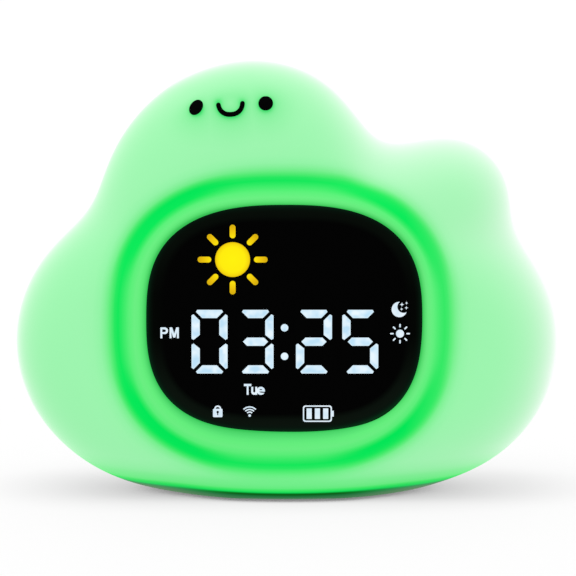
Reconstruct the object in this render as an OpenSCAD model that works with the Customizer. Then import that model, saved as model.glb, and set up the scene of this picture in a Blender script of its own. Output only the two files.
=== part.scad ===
// Cloud-shaped alarm clock with a night light.
// A soft hollow silicone cloud is drawn over a rigid core that holds the display,
// the boards, the battery, the loudspeaker and a band of lamps.
// Millimetres. +Z is up, the display faces -Y, and the origin is the middle of the
// foot, on the surface that the clock stands on.

/* [Cloud skin] */
// Half the depth of the cloud, from its middle plane to its face
cloud_half_d = 35; // [32:0.5:38]
// Thickness of the silicone skin
skin_wall = 2.2; // [1.8:0.1:2.6]
// How far in from the outline the pillow reaches its full depth
pillow_run = 22; // [18:0.5:26]
// Squareness of the pillow's rounding, where 2 is an ellipse
pillow_square = 2.5; // [2.1:0.1:3]
// Distance over which neighbouring puffs melt together
puff_blend = 5; // [4:0.5:6]
// Flattening of the middle of each puff
puff_soften = 8; // [6:0.5:10]
// Softness of the edge where the foot meets the surface
foot_soften = 1.5; // [0.8:0.1:2.5]
// Rounding of the lip round the display window
lip_round = 1.2; // [0.8:0.1:1.6]

/* [Puffs of the cloud: X, Z and radius] */
// Left cheek
puff_left = [-39.5, 42.5, 36]; // [-60:0.5:120]
// Left foot
puff_left_foot = [-36, 26.5, 20.5]; // [-60:0.5:120]
// Left shoulder
puff_shoulder = [-16.5, 79, 34.5]; // [-60:0.5:120]
// Crown, which carries the face
puff_crown = [-8, 90, 28.5]; // [-60:0.5:120]
// Saddle between the crown and the small puff
puff_saddle = [29.5, 78, 12]; // [-60:0.5:120]
// Small puff at the upper right
puff_small = [45, 82, 15.5]; // [-60:0.5:120]
// Right cheek
puff_right = [38, 42, 37]; // [-60:0.5:120]
// Right foot
puff_right_foot = [30, 35, 27.5]; // [-60:0.5:120]
// Belly, whose underside is cut flat by the foot
puff_belly = [0, 31, 42]; // [-60:0.5:120]
// Heart of the cloud, behind the display
puff_heart = [0, 52, 44]; // [-60:0.5:120]

/* [Window and groove] */
// Window centre, sideways
window_x = -0.8; // [-4:0.1:4]
// Window centre, height
window_z = 50.7; // [48:0.1:54]
// Half the window's width
window_a = 37.6; // [36:0.1:39]
// Half the window's height
window_b = 31; // [29.5:0.1:32]
// Squareness of the window, where 2 is an ellipse
window_square = 2.8; // [2.4:0.1:3.2]
// Squareness of the groove round the window
groove_square = 2.5; // [2.2:0.1:3.2]
// Distance from the window's edge to the groove at the sides
groove_out_a = 6.8; // [6:0.1:8]
// Distance from the window's edge to the groove, above and below
groove_out_b = 7.8; // [6.5:0.1:8.5]
// Sideways offset of the groove from the window
groove_dx = -0.85; // [-1.2:0.05:1]
// Vertical offset of the groove from the window
groove_dz = -1.3; // [-2:0.1:1]
// Depth of the groove
groove_depth = 1.8; // [1:0.1:2.4]
// Half width of the groove
groove_half_w = 3; // [2:0.1:3.6]

/* [Face marks] */
// Left eye, X and Z
eye_left_at = [-24.8, 107.9]; // [-40:0.1:120]
// Left eye, half length and half width
eye_left_size = [2.25, 1.65]; // [1:0.05:3]
// Lean of the left eye, clockwise from upright
eye_left_lean = 40; // [0:1:60]
// Right eye, X and Z
eye_right_at = [-5.9, 109.1]; // [-40:0.1:120]
// Right eye, half height and half width
eye_right_size = [1.9, 2]; // [1:0.05:3]
// Middle between the ends of the smile, X and Z
smile_at = [-15.5, 109.5]; // [-40:0.1:120]
// Half the width and the drop of the smile's line
smile_size = [3.3, 3.35]; // [2:0.05:5]
// Squareness of the smile's bend, where 2 is an ellipse
smile_square = 2.3; // [2:0.1:3]
// Lean of the smile, whose right end stands higher
smile_lean = 4; // [0:1:10]
// Width of the smile's line
smile_w = 1.3; // [0.8:0.1:2]
// Thickness of the face marks
mark_t = 0.5; // [0.3:0.1:1]

/* [Display] */
// Thickness of the display lens
lens_t = 1.6; // [1.2:0.1:2]
// Thickness of the light windows that are set into the lens
window_t = 1; // [0.6:0.1:1.1]
// How far the lens reaches under the silicone lip
lens_tuck = 1.2; // [0.8:0.1:1.6]
// Digits shown, from the left
shown_digits = [0, 3, 2, 5]; // [0:1:9]
// Left edges of the digits, from the window's centre
digit_left = [-25.3, -12.8, 3.1, 15.7]; // [-30:0.1:20]
// Foot of the digits, from the window's centre
digit_foot = -15.1; // [-17:0.1:-14]
// Width of a digit
digit_w = 9.8; // [9:0.1:11]
// Height of a digit
digit_h = 17.4; // [16:0.1:19]
// Width of a segment
segment_t = 2.25; // [1.8:0.1:2.8]
// Sideways distance from a corner's diagonal to the segments beside it
segment_gap = 0.66; // [0.3:0.01:0.8]
// Cut-off of a segment's tip
segment_tip = 0.55; // [0.3:0.05:0.8]
// Radius of the colon's dots
colon_r = 1.02; // [0.8:0.01:1.4]
// Heights of the colon's dots, from the window's centre
colon_z = [-2.6, -10.4]; // [-14:0.1:0]
// Centre of the sun, from the window's centre
sun_at = [-14.1, 16]; // [-20:0.1:20]
// Radius of the sun's disc
sun_r = 4.75; // [4:0.05:5.5]
// Inner and outer ends of the sun's rays
sun_rays = [5.8, 9.5]; // [5:0.1:11]
// Width of the sun's rays
sun_ray_w = 1.6; // [1.2:0.1:2.2]
// Depth of the light wells behind the lens
well_depth = 5; // [4:0.5:7]
// Thickness of the circuit boards
board_t = 1.6; // [1.2:0.1:2]

/* [Core] */
// Rim of the front frame round the lens
frame_rim = 1.5; // [1.2:0.1:2]
// Wall of the core housing
housing_wall = 2; // [1.6:0.1:2.4]
// Free depth between the main board and the loudspeaker
speaker_room = 2.5; // [1:0.5:4]
// Thickness of the bulkhead
bulkhead_t = 1.6; // [1.2:0.1:2.4]
// Length of the posts that carry the main board
board_post = 8.8; // [7:0.1:10]
// Width and height of the main board
main_board_size = [52, 44]; // [40:1:54]
// Distance of the main board's screws from its edges
board_screw_in = 3.5; // [3:0.1:5]
// Width, thickness and height of the battery
battery_size = [50, 8, 34]; // [4:1:52]
// Thickness of the battery strap
strap_t = 1.2; // [0.8:0.1:2]
// Width of the band of lamps
lamp_band_w = 8; // [6:0.5:10]
// Lamps round the band
lamp_count = 16; // [8:1:20]
// Side of one lamp
lamp_size = 4.2; // [3:0.1:5]

/* [Rear] */
// Half the width of the rear panel's opening
rear_a = 36; // [34:0.1:37]
// Half the height of the rear panel's opening
rear_b = 29.4; // [28:0.1:30]
// Thickness of the rear cover's flange
flange_t = 2.2; // [1.6:0.1:3]
// Rise of the rear panel above its flange
panel_rise = 1.5; // [1:0.1:2]
// Radius of a button
button_r = 4; // [3:0.1:4.4]
// Distance between neighbouring buttons
button_pitch = 11; // [10.4:0.1:12]
// Height of the buttons above the window's centre
button_dz = 13; // [12.5:0.1:14]
// Travel of a button
button_travel = 0.6; // [0.3:0.1:0.8]
// How far a button stands out of the panel
button_proud = 0.7; // [0.6:0.1:0.8]
// Radius of the loudspeaker
speaker_r = 14; // [12:0.5:14.5]
// Thickness of the foam ring behind the loudspeaker
gasket_t = 0.8; // [0.5:0.1:1.5]
// Depth of the loudspeaker
speaker_depth = 5.2; // [4:0.1:6]
// Height of the loudspeaker from the window's centre
speaker_dz = -6.5; // [-8:0.1:-6.5]
// Width of a grille slot
slot_w = 1.6; // [1:0.1:2]
// Distance between grille slots
slot_pitch = 4; // [3:0.1:5]
// Radius that the grille slots fill
grille_r = 11; // [8:0.5:12]
// Sideways place of the charging socket
socket_x = 21.5; // [20:0.1:22]
// Distance of the charging socket and the power switch from the main board's lower edge
socket_in = 8; // [7.6:0.1:9]
// Sideways place of the power switch at rest
switch_x = -21.8; // [-22:0.1:-21.8]
// Travel of the power switch
switch_travel = 3; // [2:0.5:4]
// Width and height of the power switch's knob
knob_size = [4, 3]; // [2.5:0.1:5]
// Places of the rear screws, from the window's centre
rear_screw_at = [29.3, 16]; // [10:0.1:31]

/* [Foot] */
// Thickness of the anti-slip pad
pad_t = 0.9; // [0.6:0.1:2]
// Half the width of the anti-slip pad
pad_a = 34; // [28:0.5:36]
// Half the depth of the anti-slip pad
pad_b = 12; // [10:0.5:13]
// Half the width of the stand's plate
stand_a = 30; // [24:0.5:32]
// Half the depth of the stand's plate
stand_b = 19; // [16:0.5:20]
// Thickness of the stand's plate
stand_t = 2.5; // [2:0.1:3.5]
// Distance from the middle to each of the stand's walls
stand_wall_x = 14; // [10:0.5:18]

/* [Fits] */
// Gap between the skin and the core
skin_gap = 0.1; // [0.05:0.01:0.2]
// Gap round parts that drop into a recess
fit_gap = 0.15; // [0.1:0.01:0.3]
// Gap round a button in its hole
button_gap = 0.2; // [0.1:0.01:0.3]
// Gap between a screw and its pilot hole
thread_gap = 0.02; // [0.01:0.01:0.05]

/* [Hidden] */

$fn = 48;
rays = 96;
PUFFS = [
    puff_left, puff_left_foot, puff_shoulder, puff_crown, puff_saddle,
    puff_small, puff_right, puff_right_foot, puff_belly, puff_heart
];

// Planes, from the front to the back
skin_under = cloud_half_d - skin_wall;
core_half = skin_under - skin_gap;
lens_front = -core_half;
lens_back = lens_front + lens_t;
wells_back = lens_back + well_depth;
display_board_t = board_t * 0.75;
display_board_back = wells_back + display_board_t;
flange_front = core_half - flange_t;
speaker_front = flange_front - gasket_t - speaker_depth;
board_back = speaker_front - speaker_room;
board_front = board_back - board_t;
bulkhead_back = board_front - board_post;
bulkhead_y = bulkhead_back - bulkhead_t;
panel_back = core_half + panel_rise;
button_top = panel_back + button_proud;

// Outlines about the window's centre
core_a = window_a + lens_tuck + frame_rim;
core_b = window_b + lens_tuck + frame_rim;
bore_a = core_a - housing_wall;
bore_b = core_b - housing_wall;
groove_at = [window_x + groove_dx, window_z + groove_dz];
speaker_z = window_z + speaker_dz;
socket_dz = socket_in - main_board_size[1] / 2;
foot_z = pad_t;

// Small metalwork
board_screw_at = [main_board_size[0] / 2 - board_screw_in, main_board_size[1] / 2 - board_screw_in];
screw_r = 1;
screw_head_r = 1.9;
screw_head_t = 1.3;
boss_r = 2.7;
lug_at = [28, 21.5];
lug_r = 2.6;
plunger_r = 1.1;
tact_size = 4.4;
tact_t = 2;
tact_gap = 0.05;
plunger_top = board_back + tact_t + 1.2;
cap_flange_t = 0.8;
cap_flange_out = 0.8;
usb_w = 8.94;
usb_h = 3.26;
usb_len = panel_back - board_back - 0.4;
lead_r = 0.6;

// ---------------------------------------------------------------- the cloud's shape

// How deep a point lies inside one puff, in the plane of the outline
function puff_reach(p, x, z) =
    sqrt(p[2] * p[2] + puff_soften * puff_soften)
    - sqrt(pow(x - p[0], 2) + pow(z - p[1], 2) + puff_soften * puff_soften);

// How deep a point lies inside the melted puffs; 0 is on the outline
function cloud_reach(x, z) =
    let (inner = [for (p = PUFFS) exp(puff_reach(p, x, z) / puff_blend)])
    puff_blend * ln(inner * [for (p = PUFFS) 1]);

// Half depth of the pillow at a point
function pillow(x, z) =
    let (u = min(1, max(0, cloud_reach(x, z) / pillow_run)))
    cloud_half_d * pow(1 - pow(1 - u, pillow_square), 1 / pillow_square);

// Distance from the window's centre to a rounded outline, at a polar angle
function outline_reach(angle, a, b, square = window_square) =
    1 / pow(pow(abs(cos(angle)) / a, square) + pow(abs(sin(angle)) / b, square), 1 / square);

function rounded_outline(a, b) =
    [for (i = [0 : rays - 1]) let (t = 360 * i / rays) outline_reach(t, a, b) * [cos(t), sin(t)]];

// Distance from the window's centre to the cloud's outline, by halving
function cloud_edge(angle, low = 30, high = 120, steps = 22) =
    steps == 0 ? low :
    let (
        middle = (low + high) / 2,
        inside = cloud_reach(window_x + middle * cos(angle), window_z + middle * sin(angle)) > 0
    )
    inside ? cloud_edge(angle, middle, high, steps - 1) : cloud_edge(angle, low, middle, steps - 1);

// Depth of the groove at a point
function groove(x, z) =
    let (
        dx = x - groove_at[0],
        dz = z - groove_at[1],
        r = norm([dx, dz]),
        a = window_a + groove_out_a,
        b = window_b + groove_out_b,
        edge = r < 1 ? 99 : outline_reach(atan2(dz, dx), a, b, groove_square)
    )
    groove_depth * exp(-pow((r - edge) / groove_half_w, 2));

function smooth_step(u) = let (v = min(1, max(0, u))) v * v * (3 - 2 * v);

// Rounds off whatever would reach below the foot's plane
function above_foot(z) =
    z > foot_z + foot_soften ? z :
    z < foot_z - foot_soften ? foot_z :
    foot_z + pow(z - foot_z + foot_soften, 2) / (4 * foot_soften);

// The skin lies flat over the core's rim and swells to the pillow past it
rim_margin = 0.4;
swell_run = 6;

function front_depth(x, z, past_rim) =
    let (w = smooth_step(past_rim / swell_run))
    cloud_half_d * (1 - w) + pillow(x, z) * w - groove(x, z);

function rear_depth(x, z, past_rim) =
    let (w = smooth_step(past_rim / swell_run))
    cloud_half_d * (1 - w) + pillow(x, z) * w;

function on_ray(angle, r, y) = [window_x + r * cos(angle), y, above_foot(window_z + r * sin(angle))];

groove_run = 12.5;
groove_steps = 9;
side_steps = 9;
rear_run = 6;

// One ray's outer points, from the window's lip over the outline to the rear lip
function outer_points(angle) =
    let (
        open_r = outline_reach(angle, window_a, window_b),
        rim_r = outline_reach(angle, core_a, core_b) + rim_margin,
        rear_r = outline_reach(angle, rear_a, rear_b),
        edge_r = cloud_edge(angle),
        groove_r = open_r + groove_run,
        rear_flat_r = rim_r + rear_run
    )
    [
        for (k = [0 : 3])
            on_ray(angle, open_r + lip_round * (1 - cos(30 * k)),
                lip_round * (1 - sin(30 * k)) - cloud_half_d),
        for (k = [1 : groove_steps])
            let (
                r = open_r + lip_round + (groove_run - lip_round) * k / groove_steps,
                x = window_x + r * cos(angle),
                z = window_z + r * sin(angle)
            )
            on_ray(angle, r, -front_depth(x, z, r - rim_r)),
        for (k = [1 : side_steps])
            let (
                r = groove_r + (edge_r - groove_r) * sin(90 * k / side_steps),
                x = window_x + r * cos(angle),
                z = window_z + r * sin(angle)
            )
            on_ray(angle, r, k == side_steps ? 0 : -front_depth(x, z, r - rim_r)),
        for (k = [side_steps - 1 : -1 : 0])
            let (
                r = rear_flat_r + (edge_r - rear_flat_r) * sin(90 * k / side_steps),
                x = window_x + r * cos(angle),
                z = window_z + r * sin(angle)
            )
            on_ray(angle, r, rear_depth(x, z, r - rim_r)),
        for (k = [2 : -1 : 0])
            let (
                r = rim_r + rear_run * k / 3,
                x = window_x + r * cos(angle),
                z = window_z + r * sin(angle)
            )
            on_ray(angle, r, rear_depth(x, z, r - rim_r)),
        for (k = [2 : -1 : 0])
            on_ray(angle, rear_r + lip_round * (1 - cos(45 * k)),
                cloud_half_d - lip_round * (1 - sin(45 * k)))
    ];

// Indexes of the outer points that the inner wall follows, from the rear to the front
outline_j = 3 + groove_steps + side_steps;
rear_swell_j = outline_j + side_steps;
INNER_FROM = [
    rear_swell_j, rear_swell_j - 2, rear_swell_j - 4, rear_swell_j - 6,
    outline_j,
    outline_j - 2, outline_j - 4, outline_j - 6, outline_j - 8,
    outline_j - 9, outline_j - 11, outline_j - 13, outline_j - 14
];

function outward(grid, i, j) =
    let (
        along = grid[i][j + 1] - grid[i][j - 1],
        around = grid[(i + 1) % rays][j] - grid[(i + rays - 1) % rays][j],
        n = cross(along, around)
    )
    n / norm(n);

function skin_loop(grid, i) =
    let (
        angle = 360 * i / rays,
        open_r = outline_reach(angle, window_a, window_b),
        rear_r = outline_reach(angle, rear_a, rear_b),
        rim_r = outline_reach(angle, core_a, core_b) + rim_margin
    )
    concat(
        grid[i],
        [on_ray(angle, rear_r, skin_under), on_ray(angle, rim_r, skin_under)],
        [for (j = INNER_FROM) grid[i][j] - skin_wall * outward(grid, i, j)],
        [on_ray(angle, rim_r, -skin_under), on_ray(angle, open_r, -skin_under)]
    );

// A ring of closed loops, joined into one tube that closes on itself
module ring_of_loops(loops) {
    count = len(loops);
    size = len(loops[0]);
    faces = [
        for (i = [0 : count - 1], j = [0 : size - 1])
            let (
                a = i * size + j,
                b = ((i + 1) % count) * size + j,
                c = ((i + 1) % count) * size + (j + 1) % size,
                d = i * size + (j + 1) % size
            )
            each [[a, b, c], [a, c, d]]
    ];
    polyhedron([for (loop = loops) each loop], faces, convexity = 8);
}

module silicone_cover() {
    grid = [for (i = [0 : rays - 1]) outer_points(360 * i / rays)];
    color("palegreen") ring_of_loops([for (i = [0 : rays - 1]) skin_loop(grid, i)]);
}

// ---------------------------------------------------------------- the face

mark_gap = 0.05;
mark_across = 4;

// A thin mark that follows the cloud's face. Each row is [centre, half width vector]
module face_mark(rows) {
    count = len(rows);
    wide = mark_across + 1;
    spots = [
        for (row = rows, k = [0 : mark_across])
            row[0] + row[1] * (2 * k / mark_across - 1)
    ];
    lower = [for (p = spots) [p[0], -(pillow(p[0], p[1]) + mark_gap), p[1]]];
    upper = [for (p = lower) p - [0, mark_t, 0]];
    total = len(spots);
    skins = [
        for (i = [0 : count - 2], k = [0 : mark_across - 1])
            let (a = i * wide + k, b = a + wide, c = b + 1, d = a + 1)
            each [
                [a, b, c], [a, c, d],
                [total + a, total + c, total + b], [total + a, total + d, total + c]
            ]
    ];
    rim = concat(
        [for (k = [0 : mark_across - 1]) k],
        [for (i = [0 : count - 2]) i * wide + mark_across],
        [for (k = [mark_across : -1 : 1]) (count - 1) * wide + k],
        [for (i = [count - 1 : -1 : 1]) i * wide]
    );
    walls = [
        for (k = [0 : len(rim) - 1])
            let (a = rim[k], b = rim[(k + 1) % len(rim)])
            each [[a, b, total + b], [a, total + b, total + a]]
    ];
    polyhedron(concat(lower, upper), concat(skins, walls), convexity = 4);
}

// Rows of an oval that leans clockwise from upright
function oval_rows(at, size, lean) = [
    for (k = [1 : 15])
        let (t = 180 * k / 16, up = [sin(lean), cos(lean)], side = [cos(lean), -sin(lean)])
        [at - size[0] * cos(t) * up, size[1] * sin(t) * side]
];

module left_eye() {
    color("black") face_mark(oval_rows(eye_left_at, eye_left_size, eye_left_lean));
}

module right_eye() {
    color("black") face_mark(oval_rows(eye_right_at, eye_right_size, 0));
}

smile_steps = 22;

// The middle of the smile's line, at an angle from its left end at 180 to its right end at 360
function smile_point(t) =
    let (
        power = 2 / smile_square,
        x = smile_size[0] * sign(cos(t)) * pow(abs(cos(t)), power),
        z = -smile_size[1] * pow(abs(sin(t)), power)
    )
    smile_at + [x * cos(smile_lean) - z * sin(smile_lean), x * sin(smile_lean) + z * cos(smile_lean)];

module smile() {
    half = smile_w / 2;
    angles = [for (k = [0 : smile_steps]) 270 - 90 * cos(180 * k / smile_steps)];
    line = [for (t = angles) smile_point(t)];
    rows = [
        for (k = [0 : smile_steps])
            let (
                ahead = line[min(k + 1, smile_steps)] - line[max(k - 1, 0)],
                out = [ahead[1], -ahead[0]] / norm(ahead),
                to_end = min(norm(line[k] - line[0]), norm(line[k] - line[smile_steps])) / half,
                w = half * (to_end < 1 ? sqrt(max(0.04, 1 - pow(1 - to_end, 2))) : 1)
            )
            [line[k], w * out]
    ];
    color("black") face_mark([for (k = [smile_steps : -1 : 0]) rows[k]]);
}

// ---------------------------------------------------------------- helpers for the core

// Extrudes a flat shape, drawn about the window's centre, from y = near to y = far
module facing(near, far) {
    translate([window_x, far, window_z]) rotate([90, 0, 0]) linear_extrude(far - near) children();
}

module rounded_plate(a, b) {
    polygon(rounded_outline(a, b));
}

// A block with its near face at y = near, about the window's centre
module block(size, at, near) {
    translate([window_x + at[0] - size[0] / 2, near, window_z + at[1] - size[2] / 2]) cube(size);
}

module four(at) {
    for (sx = [-1, 1], sz = [-1, 1]) translate([sx * at[0], sz * at[1]]) children();
}

module two(x) {
    for (sx = [-1, 1]) translate([sx * x, 0]) children();
}

// A round bar with rounded ends, drawn flat
module slot(length, width) {
    square([length - width, width], center = true);
    two((length - width) / 2) circle(d = width);
}

module rounded_square(size, r) {
    square([size[0] - 2 * r, size[1]], center = true);
    square([size[0], size[1] - 2 * r], center = true);
    for (sx = [-1, 1], sz = [-1, 1]) translate([sx * (size[0] / 2 - r), sz * (size[1] / 2 - r)]) circle(r);
}

// A pan-head screw along Y, with its head at y = seat and its shank towards -Y
module screw(at, seat, shank) {
    translate([window_x + at[0], seat, window_z + at[1]]) rotate([90, 0, 0]) {
        cylinder(r = screw_r, h = shank);
        difference() {
            translate([0, 0, -screw_head_t]) cylinder(r = screw_head_r, h = screw_head_t);
            translate([0, 0, -screw_head_t]) cube([2.2, 0.5, 1.2], center = true);
            translate([0, 0, -screw_head_t]) cube([0.5, 2.2, 1.2], center = true);
        }
    }
}

// ---------------------------------------------------------------- display graphics

SEGMENTS_OF = [
    "abcdef", "bc", "abdeg", "abcdg", "bcfg", "acdfg", "acdefg", "abc", "abcdefg", "abcdfg"
];
segment_shoulder = 0.35;

module bar_outer() {
    near = segment_gap + segment_tip;
    polygon([
        [near + segment_shoulder, digit_h], [digit_w - near - segment_shoulder, digit_h],
        [digit_w - near, digit_h - segment_tip], [digit_w - segment_gap - segment_t, digit_h - segment_t],
        [segment_gap + segment_t, digit_h - segment_t], [near, digit_h - segment_tip]
    ]);
}

module bar_middle() {
    half = segment_t / 2;
    tip = segment_tip + segment_gap * 1.4;
    translate([0, digit_h / 2]) polygon([
        [tip, 0], [tip + half, half], [digit_w - tip - half, half],
        [digit_w - tip, 0], [digit_w - tip - half, -half], [tip + half, -half]
    ]);
}

module bar_upright() {
    near = segment_gap + segment_tip;
    low = digit_h / 2 + segment_gap * 0.75;
    polygon([
        [0, digit_h - near - segment_shoulder], [segment_tip, digit_h - near],
        [segment_t, digit_h - segment_gap - segment_t], [segment_t, low + (segment_t - segment_tip) * 0.8],
        [segment_tip, low], [0, low + segment_shoulder]
    ]);
}

module flip_x() {
    translate([digit_w, 0]) mirror([1, 0]) children();
}

module flip_z() {
    translate([0, digit_h]) mirror([0, 1]) children();
}

module segment(name) {
    if (name == "a") bar_outer();
    if (name == "b") flip_x() bar_upright();
    if (name == "c") flip_x() flip_z() bar_upright();
    if (name == "d") flip_z() bar_outer();
    if (name == "e") flip_z() bar_upright();
    if (name == "f") bar_upright();
    if (name == "g") bar_middle();
}

// The segments of all four digits that are lit, or those that aren't
module digits(lit) {
    for (k = [0 : 3], name = ["a", "b", "c", "d", "e", "f", "g"])
        if ((len(search(name, SEGMENTS_OF[shown_digits[k]])) > 0) == lit)
            translate([digit_left[k], digit_foot]) segment(name);
}

module colon() {
    for (z = colon_z) translate([0, z]) circle(colon_r);
}

module sun(disc, rays_at, ray_w) {
    circle(disc);
    for (k = [0 : 7]) rotate(45 * k) translate([(rays_at[0] + rays_at[1]) / 2, 0])
        slot(rays_at[1] - rays_at[0], ray_w);
}

moon_at = [31.2, 2.4];
moon_r = 2.1;
small_sun_at = [31.4, -4.2];
lock_at = [-18.2, -25.9];
signal_at = [-9.5, -26.6];
battery_at = [8.95, -26.1];

module star(r) {
    for (k = [0, 1]) rotate(90 * k) polygon([[-r, 0], [0, -0.36 * r], [r, 0], [0, 0.36 * r]]);
}

module moon() {
    translate(moon_at) {
        difference() {
            circle(moon_r);
            translate([1.15, 0.75]) circle(moon_r * 0.8);
        }
        for (p = [[0.7, 1.35, 0.6], [1.9, 0.45, 0.5], [0.6, 0.1, 0.45], [1.95, 1.75, 0.42]])
            translate([p[0], p[1]]) star(p[2]);
    }
}

module padlock() {
    translate(lock_at) {
        difference() {
            rounded_square([2.6, 2.3], 0.3);
            translate([0, 0.25]) circle(0.34);
            translate([-0.14, -0.6]) square([0.28, 0.8]);
        }
        translate([0, 1.1]) difference() {
            union() {
                circle(0.95);
                translate([-0.95, -0.2]) square([1.9, 0.2]);
            }
            circle(0.55);
            translate([-2, -2.2]) square([4, 2]);
        }
    }
}

module signal() {
    translate(signal_at) {
        circle(0.36);
        intersection() {
            for (r = [0.95, 1.65, 2.35]) difference() {
                circle(r + 0.18);
                circle(r - 0.18);
            }
            polygon([[0, 0], [3, 3], [-3, 3]]);
        }
    }
}

module charge_gauge() {
    translate(battery_at) {
        difference() {
            rounded_square([7.9, 4.5], 0.7);
            rounded_square([7.2, 3.8], 0.5);
        }
        for (x = [-2.25, 0, 2.25]) translate([x, 0]) square([1.4, 2.9], center = true);
        translate([3.95, -0.8]) square([0.5, 1.6]);
    }
}

module status_marks() {
    moon();
    translate(small_sun_at) sun(1.1, [1.7, 2.7], 0.42);
    padlock();
    signal();
    charge_gauge();
}

letter_h = 2.85;
letter_line = 0.42;
pm_at = [-33.7, -5.4];
day_at = [-11, -20.85];

module letter_p() {
    square([letter_line, letter_h]);
    difference() {
        union() {
            translate([0, letter_h - 1.7]) square([1.1, 1.7]);
            translate([1.1, letter_h - 0.85]) circle(0.85);
        }
        translate([letter_line, letter_h - 1.7 + 0.45]) square([0.6, 0.8]);
        translate([1.1, letter_h - 0.85]) circle(0.4);
    }
}

module letter_m() {
    square([letter_line, letter_h]);
    translate([2.4 - letter_line, 0]) square([letter_line, letter_h]);
    polygon([
        [0, letter_h], [0.6, letter_h], [1.2, 1.2], [1.8, letter_h], [2.4, letter_h], [1.45, 0.2], [0.95, 0.2]
    ]);
}

module letter_t() {
    translate([0, letter_h - 0.5]) square([1.9, 0.5]);
    translate([0.95 - letter_line / 2, 0]) square([letter_line, letter_h]);
}

module letter_u() {
    translate([0, 0.7]) square([letter_line, 1.35]);
    translate([1.5 - letter_line, 0]) square([letter_line, 2.05]);
    difference() {
        translate([0.75, 0.75]) circle(0.75);
        translate([0.75, 0.75]) circle(0.28);
        translate([0, 0.7]) square([1.5, 1]);
    }
}

module letter_e() {
    difference() {
        translate([0.8, 1.02]) circle(1.04);
        translate([0.8, 1.02]) circle(0.56);
        translate([0.9, 0.45]) square([1.2, 0.38]);
    }
    translate([0.2, 0.85]) square([1.4, 0.36]);
}

module legends() {
    translate(pm_at) {
        letter_p();
        translate([2.5, 0]) letter_m();
    }
    translate(day_at) {
        letter_t();
        translate([2, 0]) letter_u();
        translate([3.75, 0]) letter_e();
    }
}

module all_windows() {
    digits(true);
    digits(false);
    colon();
    translate(sun_at) sun(sun_r, sun_rays, sun_ray_w);
    status_marks();
    legends();
}

// Wells for the small marks: centre, width and height
SMALL_WELLS = [
    [moon_at[0] + 0.1, -1, 5.8, 11.6],
    [lock_at[0], lock_at[1] + 0.4, 3.2, 3.8],
    [signal_at[0], signal_at[1] + 1.2, 4.6, 4],
    [battery_at[0] + 0.1, battery_at[1], 9.2, 5.2],
    [pm_at[0] + 2.5, pm_at[1] + letter_h / 2, 6.2, 4],
    [day_at[0] + 2.8, day_at[1] + letter_h / 2, 6.6, 4]
];

module all_wells() {
    digits(true);
    digits(false);
    for (z = colon_z) translate([0, z]) circle(colon_r + 0.2);
    translate(sun_at) circle(sun_rays[1] + 0.4);
    for (w = SMALL_WELLS) translate([w[0], w[1]]) square([w[2], w[3]], center = true);
}

// ---------------------------------------------------------------- display pieces

module display_lens() {
    color([0.02, 0.02, 0.02]) difference() {
        facing(lens_front, lens_back) rounded_plate(window_a + lens_tuck, window_b + lens_tuck);
        facing(lens_front - 1, lens_front + window_t) all_windows();
    }
}

// A piece that fills its own window in the front of the lens
module in_lens() {
    facing(lens_front, lens_front + window_t) children();
}

module lit_segments() {
    color("azure") in_lens() digits(true);
}

module unlit_segments() {
    color([0.03, 0.03, 0.03]) in_lens() digits(false);
}

module colon_dots() {
    color("azure") in_lens() colon();
}

module sun_icon() {
    color("gold") in_lens() translate(sun_at) sun(sun_r, sun_rays, sun_ray_w);
}

module status_icons() {
    color("white") in_lens() status_marks();
}

module day_legends() {
    color("white") in_lens() legends();
}

module lug_places() {
    four(lug_at) children();
}

module front_frame() {
    color("whitesmoke") difference() {
        union() {
            difference() {
                facing(lens_front, wells_back) rounded_plate(core_a, core_b);
                facing(lens_front - 1, lens_back)
                    rounded_plate(window_a + lens_tuck + fit_gap, window_b + lens_tuck + fit_gap);
                facing(lens_front - 1, wells_back + 1) rounded_plate(window_a - 1, window_b - 1);
            }
            facing(lens_back, wells_back) intersection() {
                lug_places() circle(lug_r);
                rounded_plate(window_a, window_b);
            }
        }
        facing(lens_back + 1, wells_back + 1) lug_places() circle(screw_r + thread_gap);
    }
}

module light_wells() {
    color("white") difference() {
        facing(lens_back, wells_back) rounded_plate(window_a - 1 - fit_gap, window_b - 1 - fit_gap);
        facing(lens_back - 1, wells_back + 1) all_wells();
        facing(lens_back - 1, wells_back + 1) lug_places() circle(lug_r + fit_gap);
    }
}

module display_board() {
    color("darkgreen") difference() {
        facing(wells_back, display_board_back) rounded_plate(bore_a - fit_gap, bore_b - fit_gap);
        facing(wells_back - 1, display_board_back + 1) lug_places() circle(screw_r + fit_gap);
    }
}

led_size = [1.2, 0.7, 0.8];

// One small light-emitting chip in each well
module display_leds() {
    flat = [digit_w / 2, digit_w - segment_t / 2];
    color("lightyellow") {
        for (left = digit_left, dz = [segment_t / 2, digit_h / 2, digit_h - segment_t / 2])
            led([left + flat[0], digit_foot + dz]);
        for (left = digit_left, dx = [segment_t / 2, flat[1]], dz = [digit_h * 0.27, digit_h * 0.73])
            led([left + dx, digit_foot + dz]);
        for (z = colon_z) led([0, z]);
        for (k = [0 : 3]) led(sun_at + 2.4 * [cos(90 * k + 45), sin(90 * k + 45)]);
        for (w = SMALL_WELLS) led([w[0], w[1]]);
    }
}

module led(at) {
    block(led_size, at, wells_back - led_size[1]);
}

module display_screws() {
    color("silver") for (sx = [-1, 1], sz = [-1, 1])
        screw([sx * lug_at[0], sz * lug_at[1]], display_board_back, display_board_t + well_depth - 1.3);
}

// ---------------------------------------------------------------- core housing

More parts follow.
